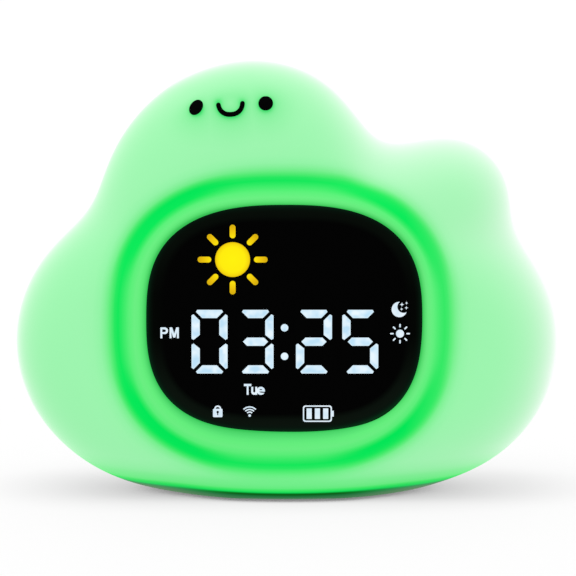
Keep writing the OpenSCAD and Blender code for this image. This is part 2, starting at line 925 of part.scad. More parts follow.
strap_foot_x = battery_size[0] / 2 + 5;
strap_depth = battery_size[1] + 0.3;
strap_w = 10;
strap_boss = 5;
stand_screw_r = 1.2;
stand_pad_r = 3.6;
stand_pad_rise = 1.2;
stand_screw_len = 9;
cable_slot = [14, 3];
ribbon_z = -battery_size[2] / 2 - 5.5;
lead_hole_x = strap_foot_x + 1.5;
lead_hole_z = [6, -6, -11];
lead_hole_r = 1.6;

module housing_shell() {
    difference() {
        facing(wells_back, flange_front) rounded_plate(core_a, core_b);
        facing(wells_back - 1, flange_front + 1) rounded_plate(bore_a, bore_b);
    }
    facing(bulkhead_y, bulkhead_back) rounded_plate(bore_a + 0.5, bore_b + 0.5);
}

module housing_posts() {
    facing(bulkhead_y, board_front) four(board_screw_at) circle(boss_r);
    facing(bulkhead_y, flange_front) four(rear_screw_at) circle(boss_r);
    facing(bulkhead_y, bulkhead_back + strap_boss) two(strap_foot_x) circle(boss_r);
    intersection() {
        facing(wells_back, flange_front) rounded_plate(core_a, core_b);
        for (sx = [-1, 1]) translate([window_x + sx * stand_wall_x, 0, window_z - core_b])
            cylinder(r = stand_pad_r, h = housing_wall + stand_pad_rise);
    }
}

module housing_holes() {
    facing(board_front - 6, board_front + 1) four(board_screw_at) circle(screw_r + thread_gap);
    facing(flange_front - 9, flange_front + 1) four(rear_screw_at) circle(screw_r + thread_gap);
    facing(bulkhead_y - 1, bulkhead_back + strap_boss - 1) two(strap_foot_x) circle(screw_r + thread_gap);
    for (sx = [-1, 1]) translate([window_x + sx * stand_wall_x, 0, window_z - core_b - 1])
        cylinder(r = stand_screw_r + fit_gap, h = housing_wall + stand_pad_rise + 2);
    facing(bulkhead_y - 1, bulkhead_back + 1) {
        translate([0, ribbon_z]) square(cable_slot, center = true);
        for (z = lead_hole_z) translate([lead_hole_x, z]) circle(lead_hole_r);
    }
    translate([window_x + core_a, lamp_hole_y, window_z]) rotate([0, 90, 0])
        cylinder(r = lead_hole_r, h = 12, center = true);
}

module core_housing() {
    color("whitesmoke") difference() {
        union() {
            housing_shell();
            housing_posts();
        }
        housing_holes();
    }
}

module battery_cell() {
    color("silver") block(battery_size, [0, 0], bulkhead_y - battery_size[1] - 0.05);
}

module battery_strap() {
    near = bulkhead_y - strap_depth - strap_t;
    leg_x = battery_size[0] / 2 + fit_gap + strap_t / 2;
    color("whitesmoke") difference() {
        union() {
            block([2 * leg_x + strap_t, strap_t, strap_w], [0, 0], near);
            for (sx = [-1, 1]) {
                block([strap_t, strap_depth + strap_t, strap_w], [sx * leg_x, 0], near);
                block([strap_foot_x + 2.4 - leg_x, strap_t, strap_w],
                    [sx * (leg_x + strap_foot_x + 2.4) / 2, 0], bulkhead_y - strap_t);
            }
        }
        facing(bulkhead_y - strap_t - 1, bulkhead_y + 1) two(strap_foot_x) circle(screw_r + fit_gap);
    }
}

// Screws whose heads face -Y
module strap_screws() {
    color("silver") for (sx = [-1, 1])
        translate([0, 2 * (bulkhead_y - strap_t), 0]) mirror([0, 1, 0])
            screw([sx * strap_foot_x, 0], bulkhead_y - strap_t, strap_t + strap_boss - 0.5);
}

// ---------------------------------------------------------------- boards

module main_board() {
    color("darkgreen") difference() {
        facing(board_front, board_back) rounded_square(main_board_size, 2);
        facing(board_front - 1, board_back + 1) four(board_screw_at) circle(screw_r + fit_gap);
    }
}

module board_screws() {
    color("silver") for (sx = [-1, 1], sz = [-1, 1])
        screw([sx * board_screw_at[0], sz * board_screw_at[1]], board_back, board_t + 5);
}

// Chips stand on the front of the main board, which faces the bulkhead
module on_board_front(size, at) {
    block(size, at, board_front - size[1]);
}

controller_size = [9, 1.2, 9];
controller_at = [-6, 2];
radio_size = [13, 0.8, 18];
radio_at = [11, 4.8];
radio_can_t = 1.6;
radio_edge = 0.8;
coil_size = [4, 2, 4];
coil_at = [-17, -4];
driver_size = [5, 1.5, 4];
driver_at = [-18, 8];
crystal_size = [3.2, 1, 1.5];
crystal_at = [-6, 11];
chip_size = [1, 0.5, 0.5];
chip_places = [-11, -7, -3, 1];
chip_row_z = -6;
capacitor_r = 2.5;
capacitor_h = 5;
capacitor_at = [-6, -12];

module controller_chip() {
    color("dimgray") on_board_front(controller_size, controller_at);
}

// A small board with a metal can on the part of it that isn't the aerial
module radio_module() {
    can = [radio_size[0] - 2 * radio_edge, radio_can_t, radio_size[2] * 0.68];
    color("silver") {
        on_board_front(radio_size, radio_at);
        block(can, [radio_at[0], radio_at[1] - (radio_size[2] - can[2]) / 2 + radio_edge],
            board_front - radio_size[1] - radio_can_t);
    }
}

module board_parts() {
    color("dimgray") {
        on_board_front(driver_size, driver_at);
        on_board_front(crystal_size, crystal_at);
        on_board_front(coil_size, coil_at);
        for (x = chip_places) on_board_front(chip_size, [x, chip_row_z]);
        facing(board_front - capacitor_h, board_front) translate(capacitor_at) circle(capacitor_r);
    }
}

socket_size = [6, 4, 4];
battery_plug_at = [main_board_size[0] / 2 - 5, -6];
lamp_plug_at = [main_board_size[0] / 2 - 9, -13];
speaker_plug_size = [6, 2.2, 3];
speaker_plug_at = [-13, -9];

module lead_sockets() {
    color("ivory") {
        on_board_front(socket_size, battery_plug_at);
        on_board_front(socket_size, lamp_plug_at);
        block(speaker_plug_size, speaker_plug_at, board_back);
    }
}

ribbon_w = 10;
ribbon_t = 0.3;
ribbon_socket_t = 2;
ribbon_socket_w = ribbon_w + 3;
display_socket_h = 4;
board_socket_h = 2.4;
board_socket_dz = board_socket_h / 2 + 0.1 - main_board_size[1] / 2;
ribbon_sag = 0.8;

module ribbon_sockets() {
    color("ivory") {
        block([ribbon_socket_w, ribbon_socket_t, display_socket_h], [0, ribbon_z], display_board_back);
        on_board_front([ribbon_socket_w, ribbon_socket_t, board_socket_h], [0, board_socket_dz]);
    }
}

// The ribbon leaves the display board and ends in the main board's lower edge
module display_ribbon() {
    from = display_board_back + ribbon_socket_t;
    to = board_front - ribbon_socket_t;
    steps = 16;
    rise = board_socket_dz - ribbon_z;
    line = [
        for (k = [0 : steps])
            let (u = k / steps)
            [from + (to - from) * u, window_z + ribbon_z + rise * smooth_step((u - 0.8) * 5)
                - ribbon_sag * sin(180 * min(1, u * 1.5))]
    ];
    upper = [for (p = line) p + [0, ribbon_t / 2]];
    lower = [for (k = [steps : -1 : 0]) line[k] - [0, ribbon_t / 2]];
    color("white") translate([window_x - ribbon_w / 2, 0, 0])
        rotate([90, 0, 90]) linear_extrude(ribbon_w) polygon(concat(upper, lower));
}

// ---------------------------------------------------------------- leads

lead_sides = 8;
lead_steps = 4;

function curve_point(a, b, c, d, u) =
    0.5 * (2 * b + (c - a) * u + (2 * a - 5 * b + 4 * c - d) * u * u + (3 * b - a - 3 * c + d) * u * u * u);

function curve_through(points) =
    let (n = len(points))
    [
        for (k = [0 : n - 2], s = [0 : lead_steps - 1])
            curve_point(
                points[max(0, k - 1)], points[k], points[k + 1], points[min(n - 1, k + 2)], s / lead_steps
            ),
        points[n - 1]
    ];

// A round lead along points given about the window's centre. Its ends are square to
// its first and last stretches
module lead(route) {
    path = [for (p = curve_through(route)) p + [window_x, 0, window_z]];
    n = len(path);
    m = len(route);
    rings = [
        for (k = [0 : n - 1])
            let (
                ahead =
                    k == 0 ? route[1] - route[0] :
                    k == n - 1 ? route[m - 1] - route[m - 2] :
                    path[k + 1] - path[k - 1],
                along = ahead / norm(ahead),
                side = cross(along, abs(along[2]) > 0.9 ? [0, 1, 0] : [0, 0, 1]),
                across = side / norm(side),
                over = cross(across, along)
            )
            [for (s = [0 : lead_sides - 1])
                let (t = 360 * s / lead_sides) path[k] + lead_r * (cos(t) * across + sin(t) * over)]
    ];
    walls = [
        for (k = [0 : n - 2], s = [0 : lead_sides - 1])
            let (
                a = k * lead_sides + s,
                b = k * lead_sides + (s + 1) % lead_sides,
                c = b + lead_sides,
                d = a + lead_sides
            )
            each [[a, b, c], [a, c, d]]
    ];
    ends = [
        [for (s = [lead_sides - 1 : -1 : 0]) s],
        [for (s = [0 : lead_sides - 1]) (n - 1) * lead_sides + s]
    ];
    polyhedron([for (ring = rings) each ring], concat(walls, ends), convexity = 6);
}

lead_pair = 0.75;

// From the battery's side, through the bulkhead and into the socket on the board
function battery_route(side) =
    let (
        from = battery_size[0] / 2,
        to = battery_plug_at[0] + socket_size[0] / 2,
        near = bulkhead_y - 4,
        far = board_front - socket_size[1] / 2,
        end_z = battery_plug_at[1] + 1.2 * side
    )
    [
        [from, near, 7.5 * side],
        [from + 1.4, near, 7.5 * side],
        [from + 4, near + 0.6, 7.2 * side],
        [lead_hole_x, bulkhead_y + bulkhead_t / 2, 6 * side],
        [lead_hole_x - 0.3, side > 0 ? far - 0.6 : bulkhead_back + 3.4, side > 0 ? 5 : -6.6],
        [to + 4.5, side > 0 ? far + 0.3 : far - 0.4, side > 0 ? -0.6 : end_z],
        [to + 1.4, far, end_z],
        [to, far, end_z]
    ];

module battery_lead_red() {
    color("red") lead(battery_route(1));
}

module battery_lead_black() {
    color("black") lead(battery_route(-1));
}

// From the back of the loudspeaker's rim to the socket behind the board
module speaker_leads() {
    rim_back = flange_front - gasket_t - speaker_rim_t;
    end_y = board_back + speaker_plug_size[1] / 2;
    end_z = speaker_plug_at[1] - speaker_plug_size[2] / 2;
    color("orangered") for (s = [-1, 1]) {
        from = [for (t = [242 + 4 * s]) [cos(t), sin(t)] * (speaker_r - lead_r - 0.1) + [0, speaker_dz]][0];
        lead([
            [from[0], rim_back, from[1]],
            [from[0], rim_back - 1.6, from[1]],
            [from[0] - 2.6, board_back + 2.6, from[1] + 0.2],
            [speaker_plug_at[0] + lead_pair * s + 0.4, end_y + 0.1, end_z - 4],
            [speaker_plug_at[0] + lead_pair * s, end_y, end_z - 1.4],
            [speaker_plug_at[0] + lead_pair * s, end_y, end_z]
        ]);
    }
}

// From the band of lamps, through the housing's side and the bulkhead, to the board
module lamp_leads() {
    out_x = core_a + lamp_film + lead_r + 0.05;
    to = lamp_plug_at[0] + socket_size[0] / 2;
    far = board_front - socket_size[1] / 2;
    color("white") for (s = [-1, 1]) {
        z = lead_pair * s;
        lead([
            [out_x, lamp_hole_y - 4.6, z],
            [out_x, lamp_hole_y - 3, z],
            [out_x + 0.3, lamp_hole_y - 1.4, z],
            [out_x - 0.4, lamp_hole_y - 0.1, z],
            [core_a - 1.4, lamp_hole_y, z],
            [core_a - 4, lamp_hole_y + 0.4, z],
            [lead_hole_x + 0.6, bulkhead_y - 14, z + lead_hole_z[2] / 2],
            [lead_hole_x, bulkhead_y - 3, z + lead_hole_z[2]],
            [lead_hole_x, bulkhead_y + bulkhead_t / 2, z + lead_hole_z[2]],
            [lead_hole_x - 1, bulkhead_back + 3, z + lead_hole_z[2]],
            [to + 5, far - 0.4, z + lamp_plug_at[1] + 0.7],
            [to + 1.4, far, z + lamp_plug_at[1]],
            [to, far, z + lamp_plug_at[1]]
        ]);
    }
}

// ---------------------------------------------------------------- lamps for the night light

lamp_film = 0.3;
lamp_t = 1.6;
lamp_band_y = wells_back + 0.5;
lamp_hole_y = lamp_band_y + lamp_band_w + 3;

module lamp_band() {
    color("white") difference() {
        facing(lamp_band_y, lamp_band_y + lamp_band_w)
            rounded_plate(core_a + lamp_film, core_b + lamp_film);
        facing(lamp_band_y - 1, lamp_band_y + lamp_band_w + 1) rounded_plate(core_a, core_b);
    }
}

// Direction that a rounded outline faces at a polar angle
function outline_facing(angle, a, b) =
    let (
        r0 = outline_reach(angle - 1, a, b),
        r1 = outline_reach(angle + 1, a, b),
        step = r1 * [cos(angle + 1), sin(angle + 1)] - r0 * [cos(angle - 1), sin(angle - 1)]
    )
    atan2(step[1], step[0]) - 90;

module lamps() {
    a = core_a + lamp_film;
    b = core_b + lamp_film;
    color("lightyellow") for (k = [0 : lamp_count - 1]) {
        angle = 360 * (k + 0.5) / lamp_count;
        r = outline_reach(angle, a, b);
        translate([window_x + r * cos(angle), lamp_band_y + lamp_band_w / 2, window_z + r * sin(angle)])
            rotate([0, -outline_facing(angle, a, b), 0])
                translate([0.02, -lamp_size / 2, -lamp_size / 2]) cube([lamp_t, lamp_size, lamp_size]);
    }
}

// ---------------------------------------------------------------- rear cover and what it carries

button_names = ["alarm", "clock", "down", "up", "light"];
slot_play = 0.2;

function button_x(k) = (k - 2) * button_pitch;

module grille() {
    translate([0, speaker_dz]) for (k = [-2 : 2])
        translate([0, k * slot_pitch]) slot(2 * sqrt(pow(grille_r, 2) - pow(k * slot_pitch, 2)), slot_w);
}

module rear_cover() {
    color("whitesmoke") difference() {
        union() {
            facing(flange_front, core_half) rounded_plate(core_a, core_b);
            facing(core_half - 0.5, panel_back) rounded_plate(rear_a - fit_gap * 2, rear_b - fit_gap * 2);
            facing(flange_front - 3.5, flange_front + 0.5) translate([0, speaker_dz]) difference() {
                circle(speaker_r + fit_gap + 1.2);
                circle(speaker_r + fit_gap);
                translate([0, button_dz - speaker_dz])
                    square([3 * button_pitch, 2 * (button_r + cap_flange_out + 0.4)], center = true);
            }
        }
        facing(flange_front - 1, panel_back + 1) {
            for (k = [0 : 4]) translate([button_x(k), button_dz]) circle(button_r + button_gap);
            grille();
            four(rear_screw_at) circle(screw_r + fit_gap);
            translate([socket_x, socket_dz])
                rounded_square([usb_w + 2 * fit_gap, usb_h + 2 * fit_gap], 1.5);
            translate([switch_x + switch_travel / 2, socket_dz])
                square(knob_size + [switch_travel + 2 * slot_play, 2 * slot_play], center = true);
        }
        facing(panel_back - screw_head_t - 0.4, panel_back + 1) four(rear_screw_at)
            circle(screw_head_r + fit_gap);
    }
}

module rear_screws() {
    color("silver") for (sx = [-1, 1], sz = [-1, 1])
        screw([sx * rear_screw_at[0], sz * rear_screw_at[1]], panel_back - screw_head_t - 0.4, 9);
}

module button(k) {
    color("white") {
        facing(flange_front - cap_flange_t, button_top)
            translate([button_x(k), button_dz]) circle(button_r);
        facing(flange_front - cap_flange_t - 0.05, flange_front - 0.05)
            translate([button_x(k), button_dz]) circle(button_r + cap_flange_out);
        facing(plunger_top, flange_front - cap_flange_t) translate([button_x(k), button_dz]) circle(1.8);
    }
}

module plunger(k) {
    color("dimgray") facing(board_back + tact_t - 0.8, plunger_top)
        translate([button_x(k), button_dz]) circle(plunger_r);
}

module tact_switches() {
    color("silver") for (k = [0 : 4]) translate([window_x + button_x(k), board_back, window_z + button_dz])
        difference() {
            translate([-tact_size / 2, 0, -tact_size / 2]) cube([tact_size, tact_t, tact_size]);
            rotate([-90, 0, 0]) translate([0, 0, 0.3]) cylinder(r = plunger_r + tact_gap, h = tact_t);
        }
}

switch_size = [8.6, 4, 4];
nub_w = 2;
nub_depth = 1.2;

module power_switch() {
    at = [switch_x + switch_travel / 2, socket_dz];
    color("silver") difference() {
        block(switch_size, at, board_back);
        block([nub_w + switch_travel + 2 * slot_play, nub_depth + 1, nub_w + 2 * slot_play], at,
            board_back + switch_size[1] - nub_depth);
    }
}

module power_knob() {
    color("dimgray") {
        block([knob_size[0], button_top - flange_front + cap_flange_t, knob_size[1]],
            [switch_x, socket_dz], flange_front - cap_flange_t);
        block([knob_size[0] + 4, cap_flange_t, knob_size[1] + 1.6], [switch_x, socket_dz],
            flange_front - cap_flange_t - 0.05);
        block([nub_w, flange_front - board_back - switch_size[1] + nub_depth - 0.2, nub_w],
            [switch_x, socket_dz], board_back + switch_size[1] - nub_depth + 0.1);
    }
}

usb_wall = 0.3;

module usb_socket() {
    color("silver") facing(board_back, board_back + usb_len) translate([socket_x, socket_dz]) difference() {
        rounded_square([usb_w, usb_h], 1.4);
        rounded_square([usb_w - 2 * usb_wall, usb_h - 2 * usb_wall], 1.4 - usb_wall);
    }
}

module usb_tongue() {
    color("black") {
        facing(board_back, board_back + 2) translate([socket_x, socket_dz])
            rounded_square([usb_w - 2 * usb_wall, usb_h - 2 * usb_wall], 1.4 - usb_wall);
        facing(board_back + 2, board_back + usb_len - 1) translate([socket_x, socket_dz])
            square([6.2, 0.7], center = true);
    }
}

module speaker_gasket() {
    color("gray") facing(flange_front - gasket_t, flange_front) translate([0, speaker_dz]) difference() {
        circle(speaker_r);
        circle(speaker_r - 1.8);
    }
}

speaker_rim_t = 1.2;

module speaker() {
    back = speaker_front;
    color("dimgray") translate([window_x, 0, speaker_z]) rotate([-90, 0, 0]) {
        translate([0, 0, back + speaker_depth - speaker_rim_t]) difference() {
            cylinder(r = speaker_r, h = speaker_rim_t);
            translate([0, 0, 0.6]) cylinder(r = speaker_r - 1.8, h = 1);
        }
        translate([0, 0, back + 2])
            cylinder(r1 = speaker_r - 5, r2 = speaker_r - 2, h = speaker_depth - 2 - speaker_rim_t + 0.3);
        translate([0, 0, back]) cylinder(r = speaker_r - 6, h = 2.2);
    }
}

// ---------------------------------------------------------------- foot

// The stand's plate lies on the skin's inner floor
stand_foot = foot_z + skin_wall + skin_gap;
stand_wall_size = [3, 28];

module core_stand() {
    color("whitesmoke") difference() {
        union() {
            translate([0, 0, stand_foot]) linear_extrude(stand_t)
                scale([stand_a / stand_b, 1]) circle(stand_b);
            for (sx = [-1, 1]) {
                translate([window_x + sx * stand_wall_x, 0, stand_foot + window_z / 2])
                    cube([stand_wall_size[0], stand_wall_size[1], window_z], center = true);
                translate([window_x + sx * stand_wall_x, 0, stand_foot]) cylinder(r = stand_pad_r, h = window_z);
            }
        }
        facing(-60, 60) rounded_plate(core_a + 0.05, core_b + 0.05);
        translate([-100, -60, window_z]) cube([200, 120, 100]);
        for (sx = [-1, 1]) translate([window_x + sx * stand_wall_x, 0, stand_foot + 3])
            cylinder(r = stand_screw_r + thread_gap, h = window_z);
    }
}

module stand_screws() {
    seat = window_z - core_b + housing_wall + stand_pad_rise;
    color("silver") for (sx = [-1, 1]) translate([window_x + sx * stand_wall_x, 0, seat]) {
        translate([0, 0, -stand_screw_len]) cylinder(r = stand_screw_r, h = stand_screw_len);
        difference() {
            cylinder(r = 2.3, h = 1.6);
            translate([0, 0, 1.6]) cube([2.8, 0.6, 1.4], center = true);
            translate([0, 0, 1.6]) cube([0.6, 2.8, 1.4], center = true);
        }
    }
}

module base_pad() {
    color("seagreen") linear_extrude(pad_t) polygon([
        for (i = [0 : rays - 1])
            let (t = 360 * i / rays)
            outline_reach(t, pad_a, pad_b) * [cos(t), sin(t)]
    ]);
}

// ---------------------------------------------------------------- assembly

silicone_cover();
left_eye();
right_eye();
smile();
display_lens();
lit_segments();
unlit_segments();
colon_dots();
sun_icon();
status_icons();
day_legends();
front_frame();
light_wells();
display_board();
display_leds();
core_housing();
battery_cell();
battery_strap();
main_board();
controller_chip();
radio_module();
board_parts();
lead_sockets();
display_ribbon();
ribbon_sockets();
battery_lead_red();
battery_lead_black();
speaker_leads();
lamp_leads();
lamp_band();
lamps();
usb_socket();
usb_tongue();
speaker();
speaker_gasket();
rear_cover();
tact_switches();
power_switch();
power_knob();
button(0);  // button_alarm
button(1);  // button_clock
button(2);  // button_down
button(3);  // button_up
button(4);  // button_light
plunger(0);  // plunger_alarm
plunger(1);  // plunger_clock
plunger(2);  // plunger_down
plunger(3);  // plunger_up
plunger(4);  // plunger_light
core_stand();
base_pad();
display_screws();
board_screws();
strap_screws();
rear_screws();
stand_screws();
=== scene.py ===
# %% [markdown]
# # A cloud-shaped alarm clock with a night light
#
# The clock is a rigid core in a hollow skin of soft silicone. The skin glows, because a
# band of small lamps shines on its inside. The core holds a black display in front and
# buttons behind. The hard pieces come ready made from the CAD model, so this lesson
# dresses them: it rounds their edges, smooths the skin and gives each its material.

import math

import bmesh
import bpy
from mathutils import Matrix, Vector


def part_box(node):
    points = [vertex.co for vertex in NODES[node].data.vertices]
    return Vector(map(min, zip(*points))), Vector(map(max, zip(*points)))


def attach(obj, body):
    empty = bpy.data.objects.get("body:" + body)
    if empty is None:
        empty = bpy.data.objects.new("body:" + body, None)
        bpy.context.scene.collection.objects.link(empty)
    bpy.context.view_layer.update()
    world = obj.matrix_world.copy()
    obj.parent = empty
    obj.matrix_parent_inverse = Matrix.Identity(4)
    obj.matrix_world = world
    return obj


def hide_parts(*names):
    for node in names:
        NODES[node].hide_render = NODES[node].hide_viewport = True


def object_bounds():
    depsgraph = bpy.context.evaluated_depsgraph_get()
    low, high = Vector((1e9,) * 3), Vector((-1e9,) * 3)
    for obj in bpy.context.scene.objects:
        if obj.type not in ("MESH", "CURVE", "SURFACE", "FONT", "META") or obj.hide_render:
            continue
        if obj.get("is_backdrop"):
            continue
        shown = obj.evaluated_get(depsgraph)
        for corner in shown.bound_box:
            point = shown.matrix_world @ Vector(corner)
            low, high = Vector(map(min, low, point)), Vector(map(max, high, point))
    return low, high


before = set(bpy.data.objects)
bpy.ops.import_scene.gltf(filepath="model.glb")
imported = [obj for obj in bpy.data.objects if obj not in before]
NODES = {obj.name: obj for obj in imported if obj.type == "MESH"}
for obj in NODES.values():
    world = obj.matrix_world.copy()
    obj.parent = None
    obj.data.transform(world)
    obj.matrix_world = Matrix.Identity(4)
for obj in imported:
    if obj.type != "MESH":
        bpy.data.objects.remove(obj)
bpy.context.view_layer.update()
MM = 0.001
# Points closer than this are one, and faces flatter than this are flat
SAME_PLACE = 0.002 * MM
FLAT = 0.01 * MM

# %% [markdown]
# Colours are given as sRGB hex values, but shaders reckon in linear light. One
# function turns the first into the second. One more helper adds a shader node together
# with its settings and its links, so that each material reads as a list of steps.


# %% Colour and node helpers
def linear(code):
    channels = [int(code[i : i + 2], 16) / 255 for i in (1, 3, 5)]
    light = [c / 12.92 if c <= 0.04045 else ((c + 0.055) / 1.055) ** 2.4 for c in channels]
    return light + [1.0]


def add(tree, kind, links=None, stops=None, **settings):
    """Adds a node. links maps inputs to sockets or values; stops are (place, hex or grey) of a ramp."""
    made = tree.nodes.new(kind)
    for name, value in settings.items():
        setattr(made, name, value)
    for key, value in (links or {}).items():
        if isinstance(value, bpy.types.NodeSocket):
            tree.links.new(value, made.inputs[key])
        else:
            made.inputs[key].default_value = value
    if stops:
        bar = made.color_ramp.elements
        while len(bar) < len(stops):
            bar.new(0.5)
        for element, (place, code) in zip(bar, stops):
            element.position = place
            element.color = linear(code) if isinstance(code, str) else (code, code, code, 1)
    return made


def start(name):
    """A new material with one Principled shader, and the place in mm on the piece."""
    material = bpy.data.materials.new(name)
    material.use_nodes = True
    tree = material.node_tree
    tree.nodes.clear()
    shader = add(tree, "ShaderNodeBsdfPrincipled")
    add(tree, "ShaderNodeOutputMaterial", {"Surface": shader.outputs["BSDF"]})
    spot = add(tree, "ShaderNodeTexCoord").outputs["Object"]
    in_mm = add(tree, "ShaderNodeVectorMath", {0: spot, 1: (1 / MM,) * 3}, operation="MULTIPLY")
    return material, tree, shader, in_mm.outputs[0]


# %% [markdown]
# The camera comes first, so that each piece can be judged as soon as it is made. It
# stands 1.2 m away, 5 degrees above the display's axis. A long lens keeps the far puffs
# from shrinking. The floor is white for the eye of the camera but still takes a shadow,
# and an Ambient Occlusion node darkens it close under the cloud, where little light of
# the room gets in.

# %% Camera and stage
VIEW_DISTANCE = 1200 * MM
VIEW_LIFT = math.radians(5)
VIEW_TARGET = Vector((0.14, 0, 56.1)) * MM
PICTURE_SIDE = 576
MM_PER_PIXEL = 0.2793
HALF_WIDTH = PICTURE_SIDE / 2 * MM_PER_PIXEL * MM
FLOOR_HALF = 20

camera = bpy.data.objects.new("camera", bpy.data.cameras.new("camera"))
bpy.context.scene.collection.objects.link(camera)
back = Vector((0, -math.cos(VIEW_LIFT), math.sin(VIEW_LIFT)))
camera.location = VIEW_TARGET + back * VIEW_DISTANCE
camera.rotation_euler = (-back).to_track_quat("-Z", "Y").to_euler()
camera.data.sensor_width = 36
camera.data.lens = camera.data.sensor_width / 2 / (HALF_WIDTH / VIEW_DISTANCE)
camera.data.clip_start = 0.05
bpy.context.scene.camera = camera
bpy.context.scene.view_settings.view_transform = "Standard"

floor_mesh = bpy.data.meshes.new("floor")
grid = bmesh.new()
bmesh.ops.create_grid(grid, x_segments=1, y_segments=1, size=FLOOR_HALF)
grid.to_mesh(floor_mesh)
grid.free()
floor = bpy.data.objects.new("floor", floor_mesh)
bpy.context.scene.collection.objects.link(floor)
floor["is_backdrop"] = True
print("lens in mm:", round(camera.data.lens, 1))


# %% Floor material and world
def seen_directly(tree):
    """1 for camera, glossy and transmission rays, which all see the pale background."""
    path = add(tree, "ShaderNodeLightPath").outputs
    direct = path["Is Camera Ray"]
    for ray in ("Is Glossy Ray", "Is Transmission Ray"):
        direct = add(tree, "ShaderNodeMath", {0: direct, 1: path[ray]}, operation="MAXIMUM").outputs[0]
    return direct


# The board reflects little, so that its shadow stays faint, and the lift makes it white
FLOOR_TONE = 0.18
FLOOR_LIFT = 0.81
CONTACT_REACH = 26 * MM
floor_paint, tree, shader, _ = start("matt_white_board")
shader.inputs["Base Color"].default_value = (FLOOR_TONE, FLOOR_TONE, FLOOR_TONE, 1)
shader.inputs["Roughness"].default_value = 0.9
shader.inputs["Specular IOR Level"].default_value = 0.1
open_share = add(tree, "ShaderNodeAmbientOcclusion", {"Distance": CONTACT_REACH}).outputs["AO"]
pale = add(
    tree, "ShaderNodeValToRGB", {"Fac": open_share},
    stops=[(0, "#868686"), (0.06, "#D0D0D0"), (0.15, "#E6E6E6"), (0.4, "#F3F3F3"), (0.7, "#FAFAFA"),
           (1, "#FFFFFF")],
).outputs["Color"]
tree.links.new(pale, shader.inputs["Emission Color"])
lift = add(tree, "ShaderNodeMath", {0: seen_directly(tree), 1: FLOOR_LIFT}, operation="MULTIPLY")
tree.links.new(lift.outputs[0], shader.inputs["Emission Strength"])
floor_mesh.materials.append(floor_paint)

WORLD_FILL = 0.62
world = bpy.data.worlds.new("studio")
bpy.context.scene.world = world
world.use_nodes = True
world.node_tree.nodes.clear()
strength = add(
    world.node_tree, "ShaderNodeMapRange",
    {"Value": seen_directly(world.node_tree), "To Min": WORLD_FILL, "To Max": 1.0},
).outputs[0]
sky = add(world.node_tree, "ShaderNodeBackground", {"Color": (1, 1, 1, 1), "Strength": strength})
add(world.node_tree, "ShaderNodeOutputWorld", {"Surface": sky.outputs[0]})
print("world fill:", WORLD_FILL)

# %% [markdown]
# Two sun lamps stand in for softboxes, because a wide angle makes their shadows soft. One
# shines down from above the front and lights everything. The other shines from behind, for
# the rear panel alone, and light linking keeps it off the pieces that it isn't meant for.


# %% Lamps
def sun(name, strength, width_deg, towards):
    lamp = bpy.data.lights.new(name, "SUN")
    lamp.energy = strength
    lamp.angle = math.radians(width_deg)
    holder = bpy.data.objects.new(name, lamp)
    holder.rotation_euler = Vector(towards).to_track_quat("-Z", "Y").to_euler()
    bpy.context.scene.collection.objects.link(holder)
    return holder


def spare(holder, name, *objects):
    """The objects take no light from what the holder shines, be it a lamp or a glow."""
    unlit = bpy.data.collections.new(name)
    holder.light_linking.receiver_collection = unlit
    for thing in objects:
        unlit.objects.link(thing)
    for entry in unlit.collection_objects:
        entry.light_linking.link_state = "EXCLUDE"


sun("softbox_top", 1.1, 50, (0.15, 0.25, -1))
softbox_back = sun("softbox_back", 1.2, 60, (-0.2, -1, -0.3))
print("lamps:", len(bpy.data.lights))

# %% [markdown]
# ## The silicone skin
#
# On the real clock this is one casting of translucent silicone, about 2 mm thick. The
# CAD mesh has the right form but flat facets. A copy of it is merged into one surface,
# its triangles are joined into quads, and Subdivision Surface rounds it. That keeps every
# place true, which sculpting by hand would not.


# %% Helpers for pieces made from CAD nodes
def link(name, mesh, body="clock_body"):
    piece = bpy.data.objects.new(name, mesh)
    bpy.context.scene.collection.objects.link(piece)
    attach(piece, body)
    return piece


def merged_copy(node):
    """A bmesh of one CAD node with its loose triangles joined at their corners."""
    shape = bmesh.new()
    shape.from_mesh(NODES[node].data)
    bmesh.ops.remove_doubles(shape, verts=shape.verts, dist=SAME_PLACE)
    return shape


def clean_copy(node):
    """A merged copy in which each flat side is one face again."""
    shape = merged_copy(node)
    bmesh.ops.dissolve_limit(
        shape, angle_limit=math.radians(1), verts=shape.verts, edges=shape.edges,
        use_dissolve_boundaries=False,
    )
    return shape


def bare_mesh(name, shape, smooth=True):
    """A mesh of the bmesh, without the normals that the import kept."""
    mesh = bpy.data.meshes.new(name)
    shape.to_mesh(mesh)
    shape.free()
    if "custom_normal" in mesh.attributes:
        mesh.attributes.remove(mesh.attributes["custom_normal"])
    mesh.materials.clear()
    mesh.polygons.foreach_set("use_smooth", [smooth] * len(mesh.polygons))
    return mesh


# %% [markdown]
# The lip is held by the core, yet soft silicone doesn't follow the core exactly. It gives
# way by about half a millimetre at the window's corners. So the window's outline, a
# squared ellipse, is pushed in or out at five angles, and the pushes die away within a few
# millimetres of the lip.

# %% Lip of the window
WINDOW = {"centre": (-0.8, 50.7), "half": (37.6, 31.0), "power": 2.8}
# Where the bend from the outline to the front starts, and where the front is nearly flat
BEND_Y = -24
FRONT_Y = -31
# Angle and spread in degrees, and push in mm
LIP_PUSHES = ((35, 30, -0.42), (135, 25, -0.52), (250, 15, -0.22), (314, 13, 0.55), (345, 12, -0.22))
LIP_REACH = 5


